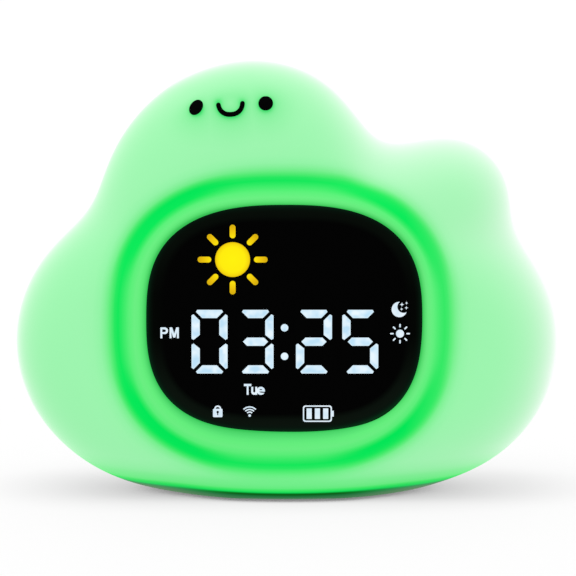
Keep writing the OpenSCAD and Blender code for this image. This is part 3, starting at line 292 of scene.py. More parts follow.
def ease_lip(shape):
    """Pushes the lip a little in or out where the silicone is stretched over the core's corners."""
    (middle_x, middle_z), half, power = WINDOW.values()
    for vert in shape.verts:
        if vert.co.y > BEND_Y * MM:
            continue
        across, up = vert.co.x / MM - middle_x, vert.co.z / MM - middle_z
        radius = math.hypot(across, up)
        shares = [abs(offset / size) ** power for offset, size in zip((across, up), half)]
        gap = radius - radius / sum(shares) ** (1 / power)
        turn = math.degrees(math.atan2(up, across)) % 360
        push = 0
        for angle, spread, mm in LIP_PUSHES:
            off = (turn - angle + 180) % 360 - 180
            push += mm * math.exp(-((off / spread) ** 2))
        fade = min(max(1 - gap / LIP_REACH, 0), 1)
        push *= fade * fade * (3 - 2 * fade) * MM / radius
        vert.co.x += across * push
        vert.co.z += up * push


# %% Smooth the skin
# Subdivision draws a bent surface inwards, and smoothing by this much pushes it out as far
CAGE_PUSH = -2 / 3

shape = merged_copy("silicone_cover")
bmesh.ops.join_triangles(
    shape, faces=shape.faces, cmp_seam=False, cmp_sharp=False, cmp_uvs=False, cmp_vcols=False,
    cmp_materials=False, angle_face_threshold=math.radians(50), angle_shape_threshold=math.radians(80),
)
# The lips lie flat on the hard core, so they stay where they are
bent = [vert for vert in shape.verts if abs(vert.co.y) < -FRONT_Y * MM]
bmesh.ops.smooth_vert(
    shape, verts=bent, factor=CAGE_PUSH, use_axis_x=True, use_axis_y=True, use_axis_z=True
)
ease_lip(shape)
left_over = sum(len(face.verts) == 3 for face in shape.faces)
print("skin faces:", len(shape.faces), "of which triangles:", left_over)
skin = link("silicone_skin", bare_mesh("silicone_skin", shape))
smoothing = skin.modifiers.new("smooth", "SUBSURF")
smoothing.levels = smoothing.render_levels = 2
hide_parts("silicone_cover")

# The glow is too weak in daylight to tint the floor, so the floor isn't lit by it
spare(skin, "unlit_by_glow", floor)
spare(softbox_back, "unlit_from_behind", floor, skin)


# %% [markdown]
# The glow isn't even, because shade and highlights are painted into it. The groove round the
# window is painted a deep green, as painted shade where the hollow keeps out the room's
# light. The body is paler, and the outline is painted nearly white, as a painted highlight
# of the room's light on the bend of the wall. Near the foot it fades to painted shade. Each
# of these is a distance that the material works out from the place on the piece.


# %% Distances that the material needs
def past_outline(tree, x, z, centre, half, power):
    """How many mm a place lies outside a squared ellipse in the XZ plane."""
    offsets, parts = [], []
    for value, middle, size in zip((x, z), centre, half):
        offset = add(tree, "ShaderNodeMath", {0: value, 1: middle}, operation="SUBTRACT").outputs[0]
        share = add(tree, "ShaderNodeMath", {0: offset, 1: size}, operation="DIVIDE").outputs[0]
        share = add(tree, "ShaderNodeMath", {0: share}, operation="ABSOLUTE").outputs[0]
        parts.append(add(tree, "ShaderNodeMath", {0: share, 1: power}, operation="POWER").outputs[0])
        offsets.append(offset)
    total = add(tree, "ShaderNodeMath", {0: parts[0], 1: parts[1]}, operation="ADD").outputs[0]
    ratio = add(tree, "ShaderNodeMath", {0: total, 1: 1 / power}, operation="POWER").outputs[0]
    flat = add(tree, "ShaderNodeCombineXYZ", {0: offsets[0], 1: offsets[1]}).outputs[0]
    radius = add(tree, "ShaderNodeVectorMath", {0: flat}, operation="LENGTH").outputs["Value"]
    edge = add(tree, "ShaderNodeMath", {0: radius, 1: ratio}, operation="DIVIDE").outputs[0]
    return add(tree, "ShaderNodeMath", {0: radius, 1: edge}, operation="SUBTRACT").outputs[0]


def over_mm(tree, value, stops):
    """A colour ramp whose stops are given in mm."""
    low, high = stops[0][0], stops[-1][0]
    share = add(tree, "ShaderNodeMapRange", {"Value": value, "From Min": low, "From Max": high}).outputs[0]
    shares = [((mm - low) / (high - low), code) for mm, code in stops]
    return add(tree, "ShaderNodeValToRGB", {"Fac": share}, stops=shares).outputs["Color"]


# %% Painted shade of the groove and lip of the glow
GROOVE = {"centre": (-1.65, 49.4), "half": (44.4, 38.8), "power": 2.5}
BODY_GREEN = "#A0F9B2"

silicone, tree, shader, place = start("cast_silicone_lit_green")
# Cast silicone has a soft satin skin, so reflections blur. Its near-white edges are a painted highlight, set
# further down
axes = add(tree, "ShaderNodeSeparateXYZ", {0: place}).outputs

from_groove = past_outline(tree, axes["X"], axes["Z"], **GROOVE)
# Painted shade: a deep green in the groove, paling outwards to the body's green
groove_shade = over_mm(
    tree, from_groove,
    [(-8, "#5AE678"), (-6, "#66F27F"), (-4.5, "#6CF384"), (-3, "#5CF37B"), (-2, "#46F06F"), (-1, "#2EED65"),
     (0, "#10EB5B"), (1, "#28EC62"), (2, "#56F077"), (3, "#76F48F"), (4, "#8AF69F"), (5, "#96F8AA"),
     (7, "#9EF9B0"), (10, BODY_GREEN)],
)
in_front = add(
    tree, "ShaderNodeMapRange", {"Value": axes["Y"], "From Min": BEND_Y, "From Max": FRONT_Y},
    interpolation_type="SMOOTHSTEP",
).outputs[0]
# The groove's painted shade is deepest at the corners of the window, where both distances
# from its middle are long, so their product in square mm finds the corners. It is lightest at
# its right
groove_middle = (GROOVE["centre"][0], 0, GROOVE["centre"][1])
corner = add(tree, "ShaderNodeVectorMath", {0: place, 1: groove_middle}, operation="SUBTRACT").outputs[0]
corner = add(tree, "ShaderNodeSeparateXYZ", {0: corner}).outputs
corner = add(tree, "ShaderNodeMath", {0: corner["X"], 1: corner["Z"]}, operation="MULTIPLY").outputs[0]
corner = add(tree, "ShaderNodeMath", {0: corner}, operation="ABSOLUTE").outputs[0]
corner = add(
    tree, "ShaderNodeMapRange", {"Value": corner, "From Min": 360, "From Max": 880},
    interpolation_type="SMOOTHSTEP",
).outputs[0]
# Painted shade, deeper still where the groove turns round the window's corners
groove_corner_shade = over_mm(tree, from_groove, [(-3, 0.0), (-1.2, 1.0), (0.6, 1.0), (3, 0.0)])
groove_corner_shade = add(tree, "ShaderNodeMath", {0: groove_corner_shade, 1: corner}, operation="MULTIPLY").outputs[0]
groove_shade = add(tree, "ShaderNodeMix", {0: groove_corner_shade, 6: groove_shade, 7: linear("#00EB59")}, data_type="RGBA").outputs[2]
groove_shade_eased = add(
    tree, "ShaderNodeMapRange", {"Value": axes["X"], "From Min": 32, "From Max": 44, "To Max": 0.1}
).outputs[0]
groove_shade = add(tree, "ShaderNodeMix", {0: groove_shade_eased, 6: groove_shade, 7: linear("#9CF8AE")}, data_type="RGBA").outputs[2]

# Painted shade: the lip is darker green at its very edge, where it bends in to the lens
from_window = past_outline(tree, axes["X"], axes["Z"], **WINDOW)
lip = over_mm(tree, from_window, [(-1, 0.8), (0, 0.62), (0.5, 0.34), (1.2, 0.12), (2.2, 0.0)])
groove_shade = add(tree, "ShaderNodeMix", {0: lip, 6: groove_shade, 7: linear("#00AE3A")}, data_type="RGBA").outputs[2]
glow = add(tree, "ShaderNodeMix", {0: in_front, 6: linear(BODY_GREEN), 7: groove_shade}, data_type="RGBA").outputs[2]
print("nodes for the groove:", len(tree.nodes))

# %% [markdown]
# Round the face marks the glow is darkened by painted shade. How much depends on how far a
# place lies from the ink: an eye is an ellipse, and the smile is the lower half of a squared
# ring, so above its ends the distance is that to the nearer end.

# %% Shade round the face marks
EYES = (
    {"centre": (-24.8, 107.6), "half": (1.9, 1.9), "power": 2},
    {"centre": (-5.9, 108.8), "half": (2, 1.9), "power": 2},
)
SMILE = {"centre": (-15.5, 109.2), "half": (3.3, 3.35), "power": 2.3}
SMILE_LINE = 1.3

smile_away = past_outline(tree, axes["X"], axes["Z"], **SMILE)
smile_away = add(tree, "ShaderNodeMath", {0: smile_away}, operation="ABSOLUTE").outputs[0]
smile_top = SMILE["centre"][1]
above_smile = add(tree, "ShaderNodeMath", {0: axes["Z"], 1: smile_top}, operation="SUBTRACT").outputs[0]
above_smile = add(tree, "ShaderNodeMath", {0: above_smile, 1: 0.0}, operation="MAXIMUM").outputs[0]
smile_away = add(tree, "ShaderNodeCombineXYZ", {0: smile_away, 1: above_smile}).outputs[0]
smile_away = add(tree, "ShaderNodeVectorMath", {0: smile_away}, operation="LENGTH").outputs["Value"]
ink_away = add(tree, "ShaderNodeMath", {0: smile_away, 1: SMILE_LINE / 2}, operation="SUBTRACT").outputs[0]
for eye in EYES:
    eye_away = past_outline(tree, axes["X"], axes["Z"], **eye)
    ink_away = add(tree, "ShaderNodeMath", {0: ink_away, 1: eye_away}, operation="MINIMUM").outputs[0]
# Painted shade round the marks, strongest next to the ink
shade = over_mm(
    tree, ink_away,
    [(-0.2, 0.85), (0.2, 0.65), (0.5, 0.50), (0.8, 0.40), (1.1, 0.33), (1.6, 0.27), (2.4, 0.20), (4, 0.12),
     (6.5, 0.04), (9, 0.0)],
)
shade = add(tree, "ShaderNodeMath", {0: shade, 1: in_front}, operation="MULTIPLY").outputs[0]
glow = add(tree, "ShaderNodeMix", {0: shade, 6: glow, 7: linear("#10E262")}, data_type="RGBA").outputs[2]
print("nodes with the face:", len(tree.nodes))

# %% [markdown]
# The rim of the cloud is painted almost white, a painted highlight of the room's light on
# the bend, most of all on its right side. The whitening is scale * bend ** power, where bend
# is 0 at the flat front and 1 at the outline. Behind the outline, which leans back towards
# the top, the painted highlight fades and the green comes back.

# %% Painted highlight towards the rim
# A ramp reaches 1 at most, so it gives shares: power is 1 plus a share of POWER_SPAN, and
# scale is a share of SCALE_SPAN
POWER_SPAN = 1.4
SCALE_SPAN = 2
OUTLINE_LEAN = 0.07

bend = add(tree, "ShaderNodeMapRange", {"Value": axes["Y"], "From Min": -35, "From Max": -4}).outputs[0]
behind = add(
    tree, "ShaderNodeMath", {0: axes["Z"], 1: -OUTLINE_LEAN, 2: axes["Y"]}, operation="MULTIPLY_ADD"
).outputs[0]
behind = add(
    tree, "ShaderNodeMapRange", {"Value": behind, "From Min": 12, "From Max": -3},
    interpolation_type="SMOOTHSTEP",
).outputs[0]
power = over_mm(tree, axes["X"], [(-70, 0.93), (-10, 0.71), (15, 0.29), (42, 0.07), (75, 0.0)])
power = add(tree, "ShaderNodeMath", {0: power, 1: POWER_SPAN, 2: 1.0}, operation="MULTIPLY_ADD").outputs[0]
rim = add(tree, "ShaderNodeMath", {0: bend, 1: power}, operation="POWER").outputs[0]
left = over_mm(
    tree, axes["Z"],
    [(6, 0.0), (15, 0.5), (30, 1.0), (50, 0.84), (65, 0.6), (80, 0.44), (100, 0.36), (112, 0.32), (119, 0.6)],
)
right = over_mm(
    tree, axes["Z"],
    [(6, 0.0), (15, 0.5), (35, 0.8), (50, 0.68), (65, 0.62), (80, 0.58), (100, 0.5), (112, 0.44)],
)
side = add(
    tree, "ShaderNodeMapRange", {"Value": axes["X"], "From Min": -20, "From Max": 20},
    interpolation_type="SMOOTHSTEP",
).outputs[0]
scale = add(tree, "ShaderNodeMix", {0: side, 6: left, 7: right}, data_type="RGBA").outputs[2]
outside = add(
    tree, "ShaderNodeMapRange", {"Value": from_groove, "From Min": -1, "From Max": 6},
    interpolation_type="SMOOTHSTEP",
).outputs[0]
for factor in (SCALE_SPAN, outside, behind):
    scale = add(tree, "ShaderNodeMath", {0: scale, 1: factor}, operation="MULTIPLY").outputs[0]
rim = add(tree, "ShaderNodeMath", {0: rim, 1: scale}, operation="MULTIPLY", use_clamp=True).outputs[0]
# Painted highlight: the glow is mixed towards near white at the rim
glow = add(tree, "ShaderNodeMix", {0: rim, 6: glow, 7: linear("#F6FDF8")}, data_type="RGBA").outputs[2]
print("nodes with the rim:", len(tree.nodes))

# %% [markdown]
# The foot is painted darker, as painted shade, because no lamp shines down there. The edge
# of the foot rises a little to both sides, so what counts is how far a place stands above
# that edge. Under the edge the skin turns away from the eye, and the painted shade is
# darkest in the middle, where the clock stands.

# %% Painted shade at the foot of the glow
FOOT_CURVE = 0.0009

rise = add(tree, "ShaderNodeMath", {0: axes["X"], 1: 2}, operation="POWER").outputs[0]
rise = add(
    tree, "ShaderNodeMath", {0: rise, 1: -FOOT_CURVE, 2: axes["Z"]}, operation="MULTIPLY_ADD"
).outputs[0]
# Painted shade: how strongly the foot's dark greens replace the glow
foot = over_mm(
    tree, rise,
    [(3.0, 1.0), (3.3, 0.95), (3.7, 0.84), (4.0, 0.70), (4.2, 0.60), (5, 0.48), (6, 0.38), (7, 0.22),
     (8, 0.12), (9, 0.06), (10.5, 0.0)],
)
# Painted shade under the foot's edge, darkest in the middle and lighter to the sides
under = over_mm(
    tree, rise,
    [(1.3, "#347848"), (1.9, "#127038"), (2.25, "#026418"), (2.48, "#005406"), (2.76, "#00982E"),
     (3.0, "#10DC5A"), (3.4, "#0CEC57"), (4, "#0AEC54")],
)
under_sides = over_mm(
    tree, rise,
    [(1.3, "#548458"), (1.9, "#408E56"), (2.15, "#2C9852"), (2.35, "#1CA852"), (2.55, "#10C056"),
     (2.75, "#10DC5A"), (4, "#0AEC54")],
)
aside = add(tree, "ShaderNodeMath", {0: axes["X"]}, operation="ABSOLUTE").outputs[0]
aside = add(
    tree, "ShaderNodeMapRange", {"Value": aside, "From Min": 12, "From Max": 38},
    interpolation_type="SMOOTHSTEP",
).outputs[0]
under = add(tree, "ShaderNodeMix", {0: aside, 6: under, 7: under_sides}, data_type="RGBA").outputs[2]
glow = add(tree, "ShaderNodeMix", {0: foot, 6: glow, 7: under}, data_type="RGBA").outputs[2]
print("nodes with the foot:", len(tree.nodes))

# %% [markdown]
# Most of what reaches the eye goes into Emission: the lamps' own light, and with it the
# room's light on the pale body, painted into the glow. A seventh of the colour is left to the
# base, and takes the room's light and shade.

# %% Finish the silicone
ROOM_SHARE = 0.14
GLOW_STRENGTH = 0.89
tree.links.new(glow, shader.inputs["Emission Color"])
shader.inputs["Emission Strength"].default_value = GLOW_STRENGTH
body_colour = add(
    tree, "ShaderNodeMix", {0: 1 - ROOM_SHARE, 6: glow, 7: linear("#000000")}, data_type="RGBA"
).outputs[2]
tree.links.new(body_colour, shader.inputs["Base Color"])
shader.inputs["Roughness"].default_value = 0.5
shader.inputs["IOR"].default_value = 1.41
shader.inputs["Specular IOR Level"].default_value = 0.08
skin.data.materials.append(silicone)
print("silicone nodes:", len(tree.nodes))

# %% [markdown]
# ## Eyes and smile
#
# The face is printed or inlaid in black rubber ink, which stands up a little. Copies of
# the CAD marks get a small bevel, so that their edges catch the light as thick ink does.


# %% Face marks
INK_EDGE = 0.15 * MM
DISH_EDGE = 0.8 * MM


def refined(node, name, width, segments=2, angle=35, body="clock_body", dish=0):
    """A copy of a CAD node with edges rounded by width, which takes its place. dish hollows its back."""
    shape = clean_copy(node)
    if dish:
        top = max(v.co.y for v in shape.verts)
        faces = [f for f in shape.faces if all(abs(v.co.y - top) < FLAT for v in f.verts)]
        bmesh.ops.inset_region(shape, faces=faces, use_boundary=True, thickness=DISH_EDGE, depth=-dish)
    piece = link(name, bare_mesh(name, shape), body)
    rounding = piece.modifiers.new("edges", "BEVEL")
    rounding.width = width
    rounding.segments = segments
    rounding.limit_method = "ANGLE"
    rounding.angle_limit = math.radians(angle)
    rounding.harden_normals = True
    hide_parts(node)
    return piece


# Rubber ink is black all through and dries half matt
ink, tree, shader, place = start("black_silicone_ink")
grain = add(tree, "ShaderNodeTexNoise", {"Vector": place, "Scale": 4, "Detail": 3}).outputs[0]
tone = add(tree, "ShaderNodeValToRGB", {"Fac": grain}, stops=[(0.3, "#010101"), (0.7, "#030303")])
tree.links.new(tone.outputs[0], shader.inputs["Base Color"])
shader.inputs["Roughness"].default_value = 0.55
shader.inputs["Specular IOR Level"].default_value = 0.008

for node in ("left_eye", "right_eye", "smile"):
    mark = refined(node, node + "_ink", INK_EDGE)
    mark.data.materials.append(ink)
    print(node, "faces:", len(mark.data.polygons))

# %% [markdown]
# ## The display
#
# The window is one sheet of smoked acrylic, so dark that only lit marks show. Its gloss
# is kept very low here, because an anti-glare coat stops it from mirroring the room. At
# its edge the green light from the lip is painted into its emission, and so is a faint
# painted reflection of the lip itself.

# %% Smoked lens
lens_glass, tree, shader, place = start("smoked_acrylic_with_antiglare_coat")
axes = add(tree, "ShaderNodeSeparateXYZ", {0: place}).outputs
inside = past_outline(tree, axes["X"], axes["Z"], **WINDOW)
# Painted light: green from the lip, painted into the lens's emission near its edge
painted_lip_spill = over_mm(
    tree, inside,
    [(-5, "#000000"), (-2, "#010301"), (-1.2, "#020B05"), (-0.7, "#03160A"), (-0.3, "#042210"),
     (0, "#052E14"), (0.5, "#052C0E")],
)
# The painted reflection of the lip shows below more than above
painted_lip_reflection = over_mm(tree, inside, [(-4.8, 0.0), (-3.2, 0.75), (-2, 0.85), (-0.9, 0.4), (0, 0.0)])
level = over_mm(tree, axes["Z"], [(32, 1.0), (46, 0.0), (57, 0.0), (71, 0.45)])
painted_lip_reflection = add(tree, "ShaderNodeMath", {0: painted_lip_reflection, 1: level}, operation="MULTIPLY").outputs[0]
painted_lip_spill = add(
    tree, "ShaderNodeMix", {0: painted_lip_reflection, 6: painted_lip_spill, 7: linear("#09110B")}, data_type="RGBA", blend_type="ADD"
).outputs[2]
tree.links.new(painted_lip_spill, shader.inputs["Emission Color"])
shader.inputs["Emission Strength"].default_value = 1.0
shader.inputs["Base Color"].default_value = linear("#010101")
shader.inputs["Roughness"].default_value = 0.12
shader.inputs["IOR"].default_value = 1.49
shader.inputs["Specular IOR Level"].default_value = 0.012


def dress(material, *nodes):
    """Gives CAD nodes their material."""
    for node in nodes:
        NODES[node].data.materials.clear()
        NODES[node].data.materials.append(material)


dress(lens_glass, "display_lens")
print("lens nodes:", len(tree.nodes))

# %% [markdown]
# A segment is a clear window over a well with a small lamp at its bottom. The film over
# it is ice blue where the light comes straight through, and nearly white at its edges.
# The front faces are inset, and a vertex attribute called rim carries that from 0 inside
# to 1 at the edge.


# %% Lit windows with a rim
def lit_window(node, name, inset):
    """A copy of a CAD node whose front faces carry rim: 0 inside, rising to 1 over the inset."""
    shape = clean_copy(node)
    front_y = min(v.co.y for v in shape.verts)
    faces = [f for f in shape.faces if all(abs(v.co.y - front_y) < FLAT for v in f.verts)]
    rim_layer = shape.verts.layers.float.new("rim")
    for vert in shape.verts:
        vert[rim_layer] = 1
    bmesh.ops.inset_region(
        shape, faces=faces, use_boundary=True, use_even_offset=True, use_interpolate=True, thickness=inset
    )
    for face in faces:
        for vert in face.verts:
            vert[rim_layer] = 0
    piece = link(name, bare_mesh(name, shape, smooth=False))
    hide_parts(node)
    print(name, "windows:", len(faces))
    return piece


# The film spreads the light unevenly, in blotches of about 2.4 mm
BLOTCHES_PER_MM = 0.42


def backlit(name, dim, bright, edge):
    """A film that gives light: blotches of two colours inside, and another colour at the rim."""
    material, tree, shader, place = start(name)
    rim = add(tree, "ShaderNodeAttribute", attribute_name="rim").outputs["Fac"]
    blotch = {"Vector": place, "Scale": BLOTCHES_PER_MM, "Detail": 1}
    blotch = add(tree, "ShaderNodeTexNoise", blotch).outputs[0]
    tone = add(tree, "ShaderNodeValToRGB", {"Fac": blotch}, stops=[(0.35, dim), (0.65, bright)]).outputs[0]
    tone = add(tree, "ShaderNodeMix", {0: rim, 6: tone, 7: linear(edge)}, data_type="RGBA").outputs[2]
    tree.links.new(tone, shader.inputs["Emission Color"])
    shader.inputs["Emission Strength"].default_value = 1.0
    shader.inputs["Base Color"].default_value = linear("#101214")
    shader.inputs["Roughness"].default_value = 0.3
    shader.inputs["Specular IOR Level"].default_value = 0.02
    return material, tree, shader, place, rim


ice_film = backlit("ice_blue_diffuser_film", "#BEE2F8", "#E8F7FF", "#D8EFFB")[0]
for node, inset in (("lit_segments", 0.4), ("colon_dots", 0.3)):
    window = lit_window(node, node + "_film", inset * MM)
    window.data.materials.append(ice_film)

# %% [markdown]
# The big sun is a yellow film over one well with four lamps. It is brightest in the
# middle, and each ray turns to amber towards its tip.

# %% Sun
SUN_CENTRE = (-14.9, 0, 66.7)
SUN_RIM = 0.3 * MM
SUN_RIM_SHARE = 0.4


def from_axis(tree, place, centre):
    """How far a place lies from the line along Y through centre, which has y = 0."""
    flat = add(tree, "ShaderNodeVectorMath", {0: place, 1: (1, 0, 1)}, operation="MULTIPLY").outputs[0]
    return add(tree, "ShaderNodeVectorMath", {0: flat, 1: centre}, operation="DISTANCE").outputs["Value"]


yellow_film, tree, shader, place, rim = backlit("yellow_diffuser_film", "#FFEE00", "#FFEE00", "#FFF3A0")
warm = over_mm(
    tree, from_axis(tree, place, SUN_CENTRE),
    [(0, "#FFF200"), (3.4, "#FFEC00"), (4.3, "#F6D800"), (4.75, "#E6C000"), (5.4, "#FFEC00"),
     (6.6, "#F6D800"), (8.2, "#E8BC00"), (9.5, "#D0A800")],
)
edge = add(tree, "ShaderNodeMath", {0: rim, 1: SUN_RIM_SHARE}, operation="MULTIPLY").outputs[0]
warm = add(tree, "ShaderNodeMix", {0: edge, 6: warm, 7: linear("#EEC800")}, data_type="RGBA").outputs[2]
tree.links.new(warm, shader.inputs["Emission Color"])
window = lit_window("sun_icon", "sun_icon_film", SUN_RIM)
window.data.materials.append(yellow_film)

# %% [markdown]
# Letters and small marks are too thin for a rim, so they are white all over. The
# segments that aren't lit are the same film over a dark well, and can't be seen.

# %% Small marks and dark segments
LETTER_SPREAD = 0.1 * MM
white_film = backlit("white_diffuser_film", "#D6EAF7", "#E8F5FE", "#E6F4FF")[0]
dress(white_film, "status_icons")

# Light spreads in the film, so the printed letters look a tenth of a millimetre bolder
legends = link("day_legends_film", bare_mesh("day_legends_film", merged_copy("day_legends")))
bolder = legends.modifiers.new("bolder", "DISPLACE")
bolder.strength = LETTER_SPREAD
bolder.mid_level = 0
legends.data.materials.append(white_film)
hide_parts("day_legends")

dark_film, tree, shader, place = start("unlit_diffuser_film")
grain = add(tree, "ShaderNodeTexNoise", {"Vector": place, "Scale": 2}).outputs[0]
tone = add(tree, "ShaderNodeValToRGB", {"Fac": grain}, stops=[(0.3, "#010101"), (0.7, "#020202")])
tree.links.new(tone.outputs[0], shader.inputs["Base Color"])
shader.inputs["Roughness"].default_value = 0.12
shader.inputs["Specular IOR Level"].default_value = 0.012
dress(dark_film, "unlit_segments")
print("letters' faces:", len(legends.data.polygons))

# %% [markdown]
# ## The back
#
# The back can't be judged by the front, so it follows other clocks of this kind: a cover of
# finely textured plastic, five soft buttons, a sliding switch, a loudspeaker behind slots
# and a charging socket. Most of these are plain mouldings, so they share one recipe. The
# colour drifts a little from place to place, and a finer noise gives the skin its grain.


# %% Recipe for plain mouldings
DRIFTS_PER_MM = 0.15
ROUGHNESS_DRIFT = 0.08


def grained(name, dark, pale, grain_mm, roughness, relief_mm=0.0, metal=0.0):
    """Colour between two tones, and a skin whose grain is grain_mm wide and relief_mm deep."""
    material, tree, shader, place = start(name)
    drift = add(tree, "ShaderNodeTexNoise", {"Vector": place, "Scale": DRIFTS_PER_MM, "Detail": 4}).outputs[0]
    tone = add(tree, "ShaderNodeValToRGB", {"Fac": drift}, stops=[(0.35, dark), (0.65, pale)]).outputs[0]
    tree.links.new(tone, shader.inputs["Base Color"])
    fine = add(tree, "ShaderNodeTexNoise", {"Vector": place, "Scale": 1 / grain_mm, "Detail": 2}).outputs[0]
    smoothest, roughest = roughness - ROUGHNESS_DRIFT, roughness + ROUGHNESS_DRIFT
    rough = add(tree, "ShaderNodeMapRange", {"Value": fine, "To Min": smoothest, "To Max": roughest})
    tree.links.new(rough.outputs[0], shader.inputs["Roughness"])
    if relief_mm:
        relief = add(tree, "ShaderNodeBump", {"Height": fine, "Distance": relief_mm * MM})
        tree.links.new(relief.outputs[0], shader.inputs["Normal"])
    shader.inputs["Metallic"].default_value = metal
    return material


# Spark-eroded moulds leave ABS with a fine matt grain, about a third of a mm wide
cover_plastic = grained("textured_white_abs", "#F0F2EF", "#F6F7F5", 0.35, 0.52, relief_mm=0.04)
# Inside mouldings come from polished moulds and are smoother
inner_plastic = grained("smooth_white_abs", "#ECEDEA", "#F3F4F2", 0.8, 0.4)
dress(inner_plastic, "front_frame", "light_wells", "core_housing", "battery_strap", "core_stand")

PANEL_EDGE = 0.3 * MM
rear_panel = refined("rear_cover", "rear_panel", PANEL_EDGE, segments=3)
rear_panel.data.materials.append(cover_plastic)
print("rear panel faces:", len(rear_panel.data.polygons))

# %% [markdown]
# The button caps are firm silicone. Their tops are pressed in by a quarter of a millimetre,
# so that a fingertip finds them in the dark, and each carries a printed mark: a bell for
# the alarm, a clock face for the time, minus, plus, and a small sun for the light.

# %% Button caps
KEYS = ("alarm", "clock", "down", "up", "light")
white_key = grained("white_silicone_key", "#F3F5F3", "#F9FAF9", 0.5, 0.45, relief_mm=0.01)
green_key = grained("green_silicone_key", "#4FC877", "#5FD586", 0.5, 0.45, relief_mm=0.01)
CAP_EDGE = 0.3 * MM
DISH = 0.25 * MM

for key in KEYS:
    cap = refined(
        f"button_{key}", f"cap_{key}", CAP_EDGE, segments=3, angle=20, body=f"key_{key}", dish=DISH
    )
    cap.data.materials.append(green_key if key == "light" else white_key)
    print(cap.name, "faces:", len(cap.data.polygons))

# %% [markdown]
# Each mark is drawn from bars, arcs and dots about the middle of its cap. They are laid on
# the bottom of the dish and are as thick as a coat of ink, a twentieth of a millimetre.


# %% Helpers for marks
LINE = 0.36
COAT = 0.05


def lathe(shape, profile, centre, sweep=360, first=0, steps=32):
    """Turns a closed profile of (radius, y) points, in mm, about a line along Y."""
    points = [shape.verts.new((r * MM, y * MM, 0)) for r, y in profile]
    lines = [shape.edges.new((a, b)) for a, b in zip(points, points[1:] + points[:1])]
    turned = Matrix.Rotation(-math.radians(first), 3, "Y")
    bmesh.ops.rotate(shape, verts=points, cent=(0, 0, 0), matrix=turned)
    bmesh.ops.translate(shape, verts=points, vec=Vector(centre) * MM)
    bmesh.ops.spin(
        shape, geom=points + lines, cent=Vector(centre) * MM, axis=(0, -1, 0), angle=math.radians(sweep),
        steps=steps, use_merge=sweep == 360,
    )
    bmesh.ops.remove_doubles(shape, verts=shape.verts, dist=SAME_PLACE)
    bmesh.ops.recalc_face_normals(shape, faces=shape.faces)


def printed_mark(name, body, centre, bars=(), arcs=(), dots=()):
    """bars: x, z, length, turn. arcs: x, z, radius, first and swept degrees. dots: x, z, radius."""
    shape = bmesh.new()
    for x, z, length, turn in bars:
        at = Matrix.Translation(Vector((centre[0] - x, centre[1] + COAT / 2, centre[2] + z)) * MM)
        size = Matrix.Diagonal(Vector((length, COAT, LINE, 1 / MM)) * MM)
        turned = Matrix.Rotation(math.radians(turn), 4, "Y")
        bmesh.ops.create_cube(shape, size=1, matrix=at @ turned @ size)
    for x, z, radius, first, sweep in arcs:
        inner, outer = radius - LINE / 2, radius + LINE / 2
        profile = [(inner, 0), (inner, COAT), (outer, COAT), (outer, 0)]
        lathe(shape, profile, (centre[0] - x, centre[1], centre[2] + z), sweep, first)
    for x, z, radius in dots:
        at = Matrix.Translation(Vector((centre[0] - x, centre[1] + COAT / 2, centre[2] + z)) * MM)
        bmesh.ops.create_cone(
            shape, cap_ends=True, segments=24, radius1=radius * MM, radius2=radius * MM, depth=COAT * MM,
            matrix=at @ Matrix.Rotation(math.radians(90), 4, "X"),
        )
    piece = link(name, bare_mesh(name, shape, smooth=False), body)
    piece.data.materials.append(print_ink)
    return piece


# %% Marks on the caps
# Pad-printing ink is thin and dries matt, and the keys' grain shows through it
print_ink = grained("dark_grey_pad_ink", "#2B2E30", "#363A3C", 0.5, 0.6)

RAY_AT = 1.55
RAY_TURNS = [k * math.pi / 4 for k in range(8)]
MARKS = {
    "alarm": {
        "bars": [(0, -1.1, 3.0, 0), (-1.15, -0.45, 1.4, 72), (1.15, -0.45, 1.4, -72)],
        "arcs": [(0, 0.15, 1.0, 0, 180)],
        "dots": [(0, -1.6, 0.32), (0, 1.35, 0.26)],
    },
    "clock": {"bars": [(0, 0.5, 1.1, 90), (0.42, 0, 0.9, 0)], "arcs": [(0, 0, 1.7, 0, 360)], "dots": []},
    "down": {"bars": [(0, 0, 2.6, 0)]},
    "up": {"bars": [(0, 0, 2.6, 0), (0, 0, 2.6, 90)]},
    "light": {
        "bars": [(RAY_AT * math.cos(t), RAY_AT * math.sin(t), 0.6, math.degrees(t)) for t in RAY_TURNS],
        "dots": [(0, 0, 0.75)],
    },
}
for key in KEYS:
    low, high = (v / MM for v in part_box(f"button_{key}"))
    middle = (low + high) / 2
    dish_bottom = (middle.x, high.y - DISH / MM, middle.z)
    mark = printed_mark(f"mark_{key}", f"key_{key}", dish_bottom, **MARKS[key])
    print(mark.name, "faces:", len(mark.data.polygons))


# %% [markdown]
# The switch and the socket are named in print on the cover. The letters are made as text,
# turned into a mesh, and laid on the panel so that they read from behind.

# %% Words on the cover
PANEL_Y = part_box("rear_cover")[1].y
CAPITAL_HEIGHT = 1.7
# A typeface's size is about 1.4 times the height of its capitals
TYPE_PER_CAPITAL = 1.4
HALF_COAT = 0.02 * MM
WORDS_GAP = 1.4
# The knob rests at ON, on the low side of its slot, and OFF stands past the other end
SWITCH_WORDS = {"ON": -2, "OFF": 5.2}


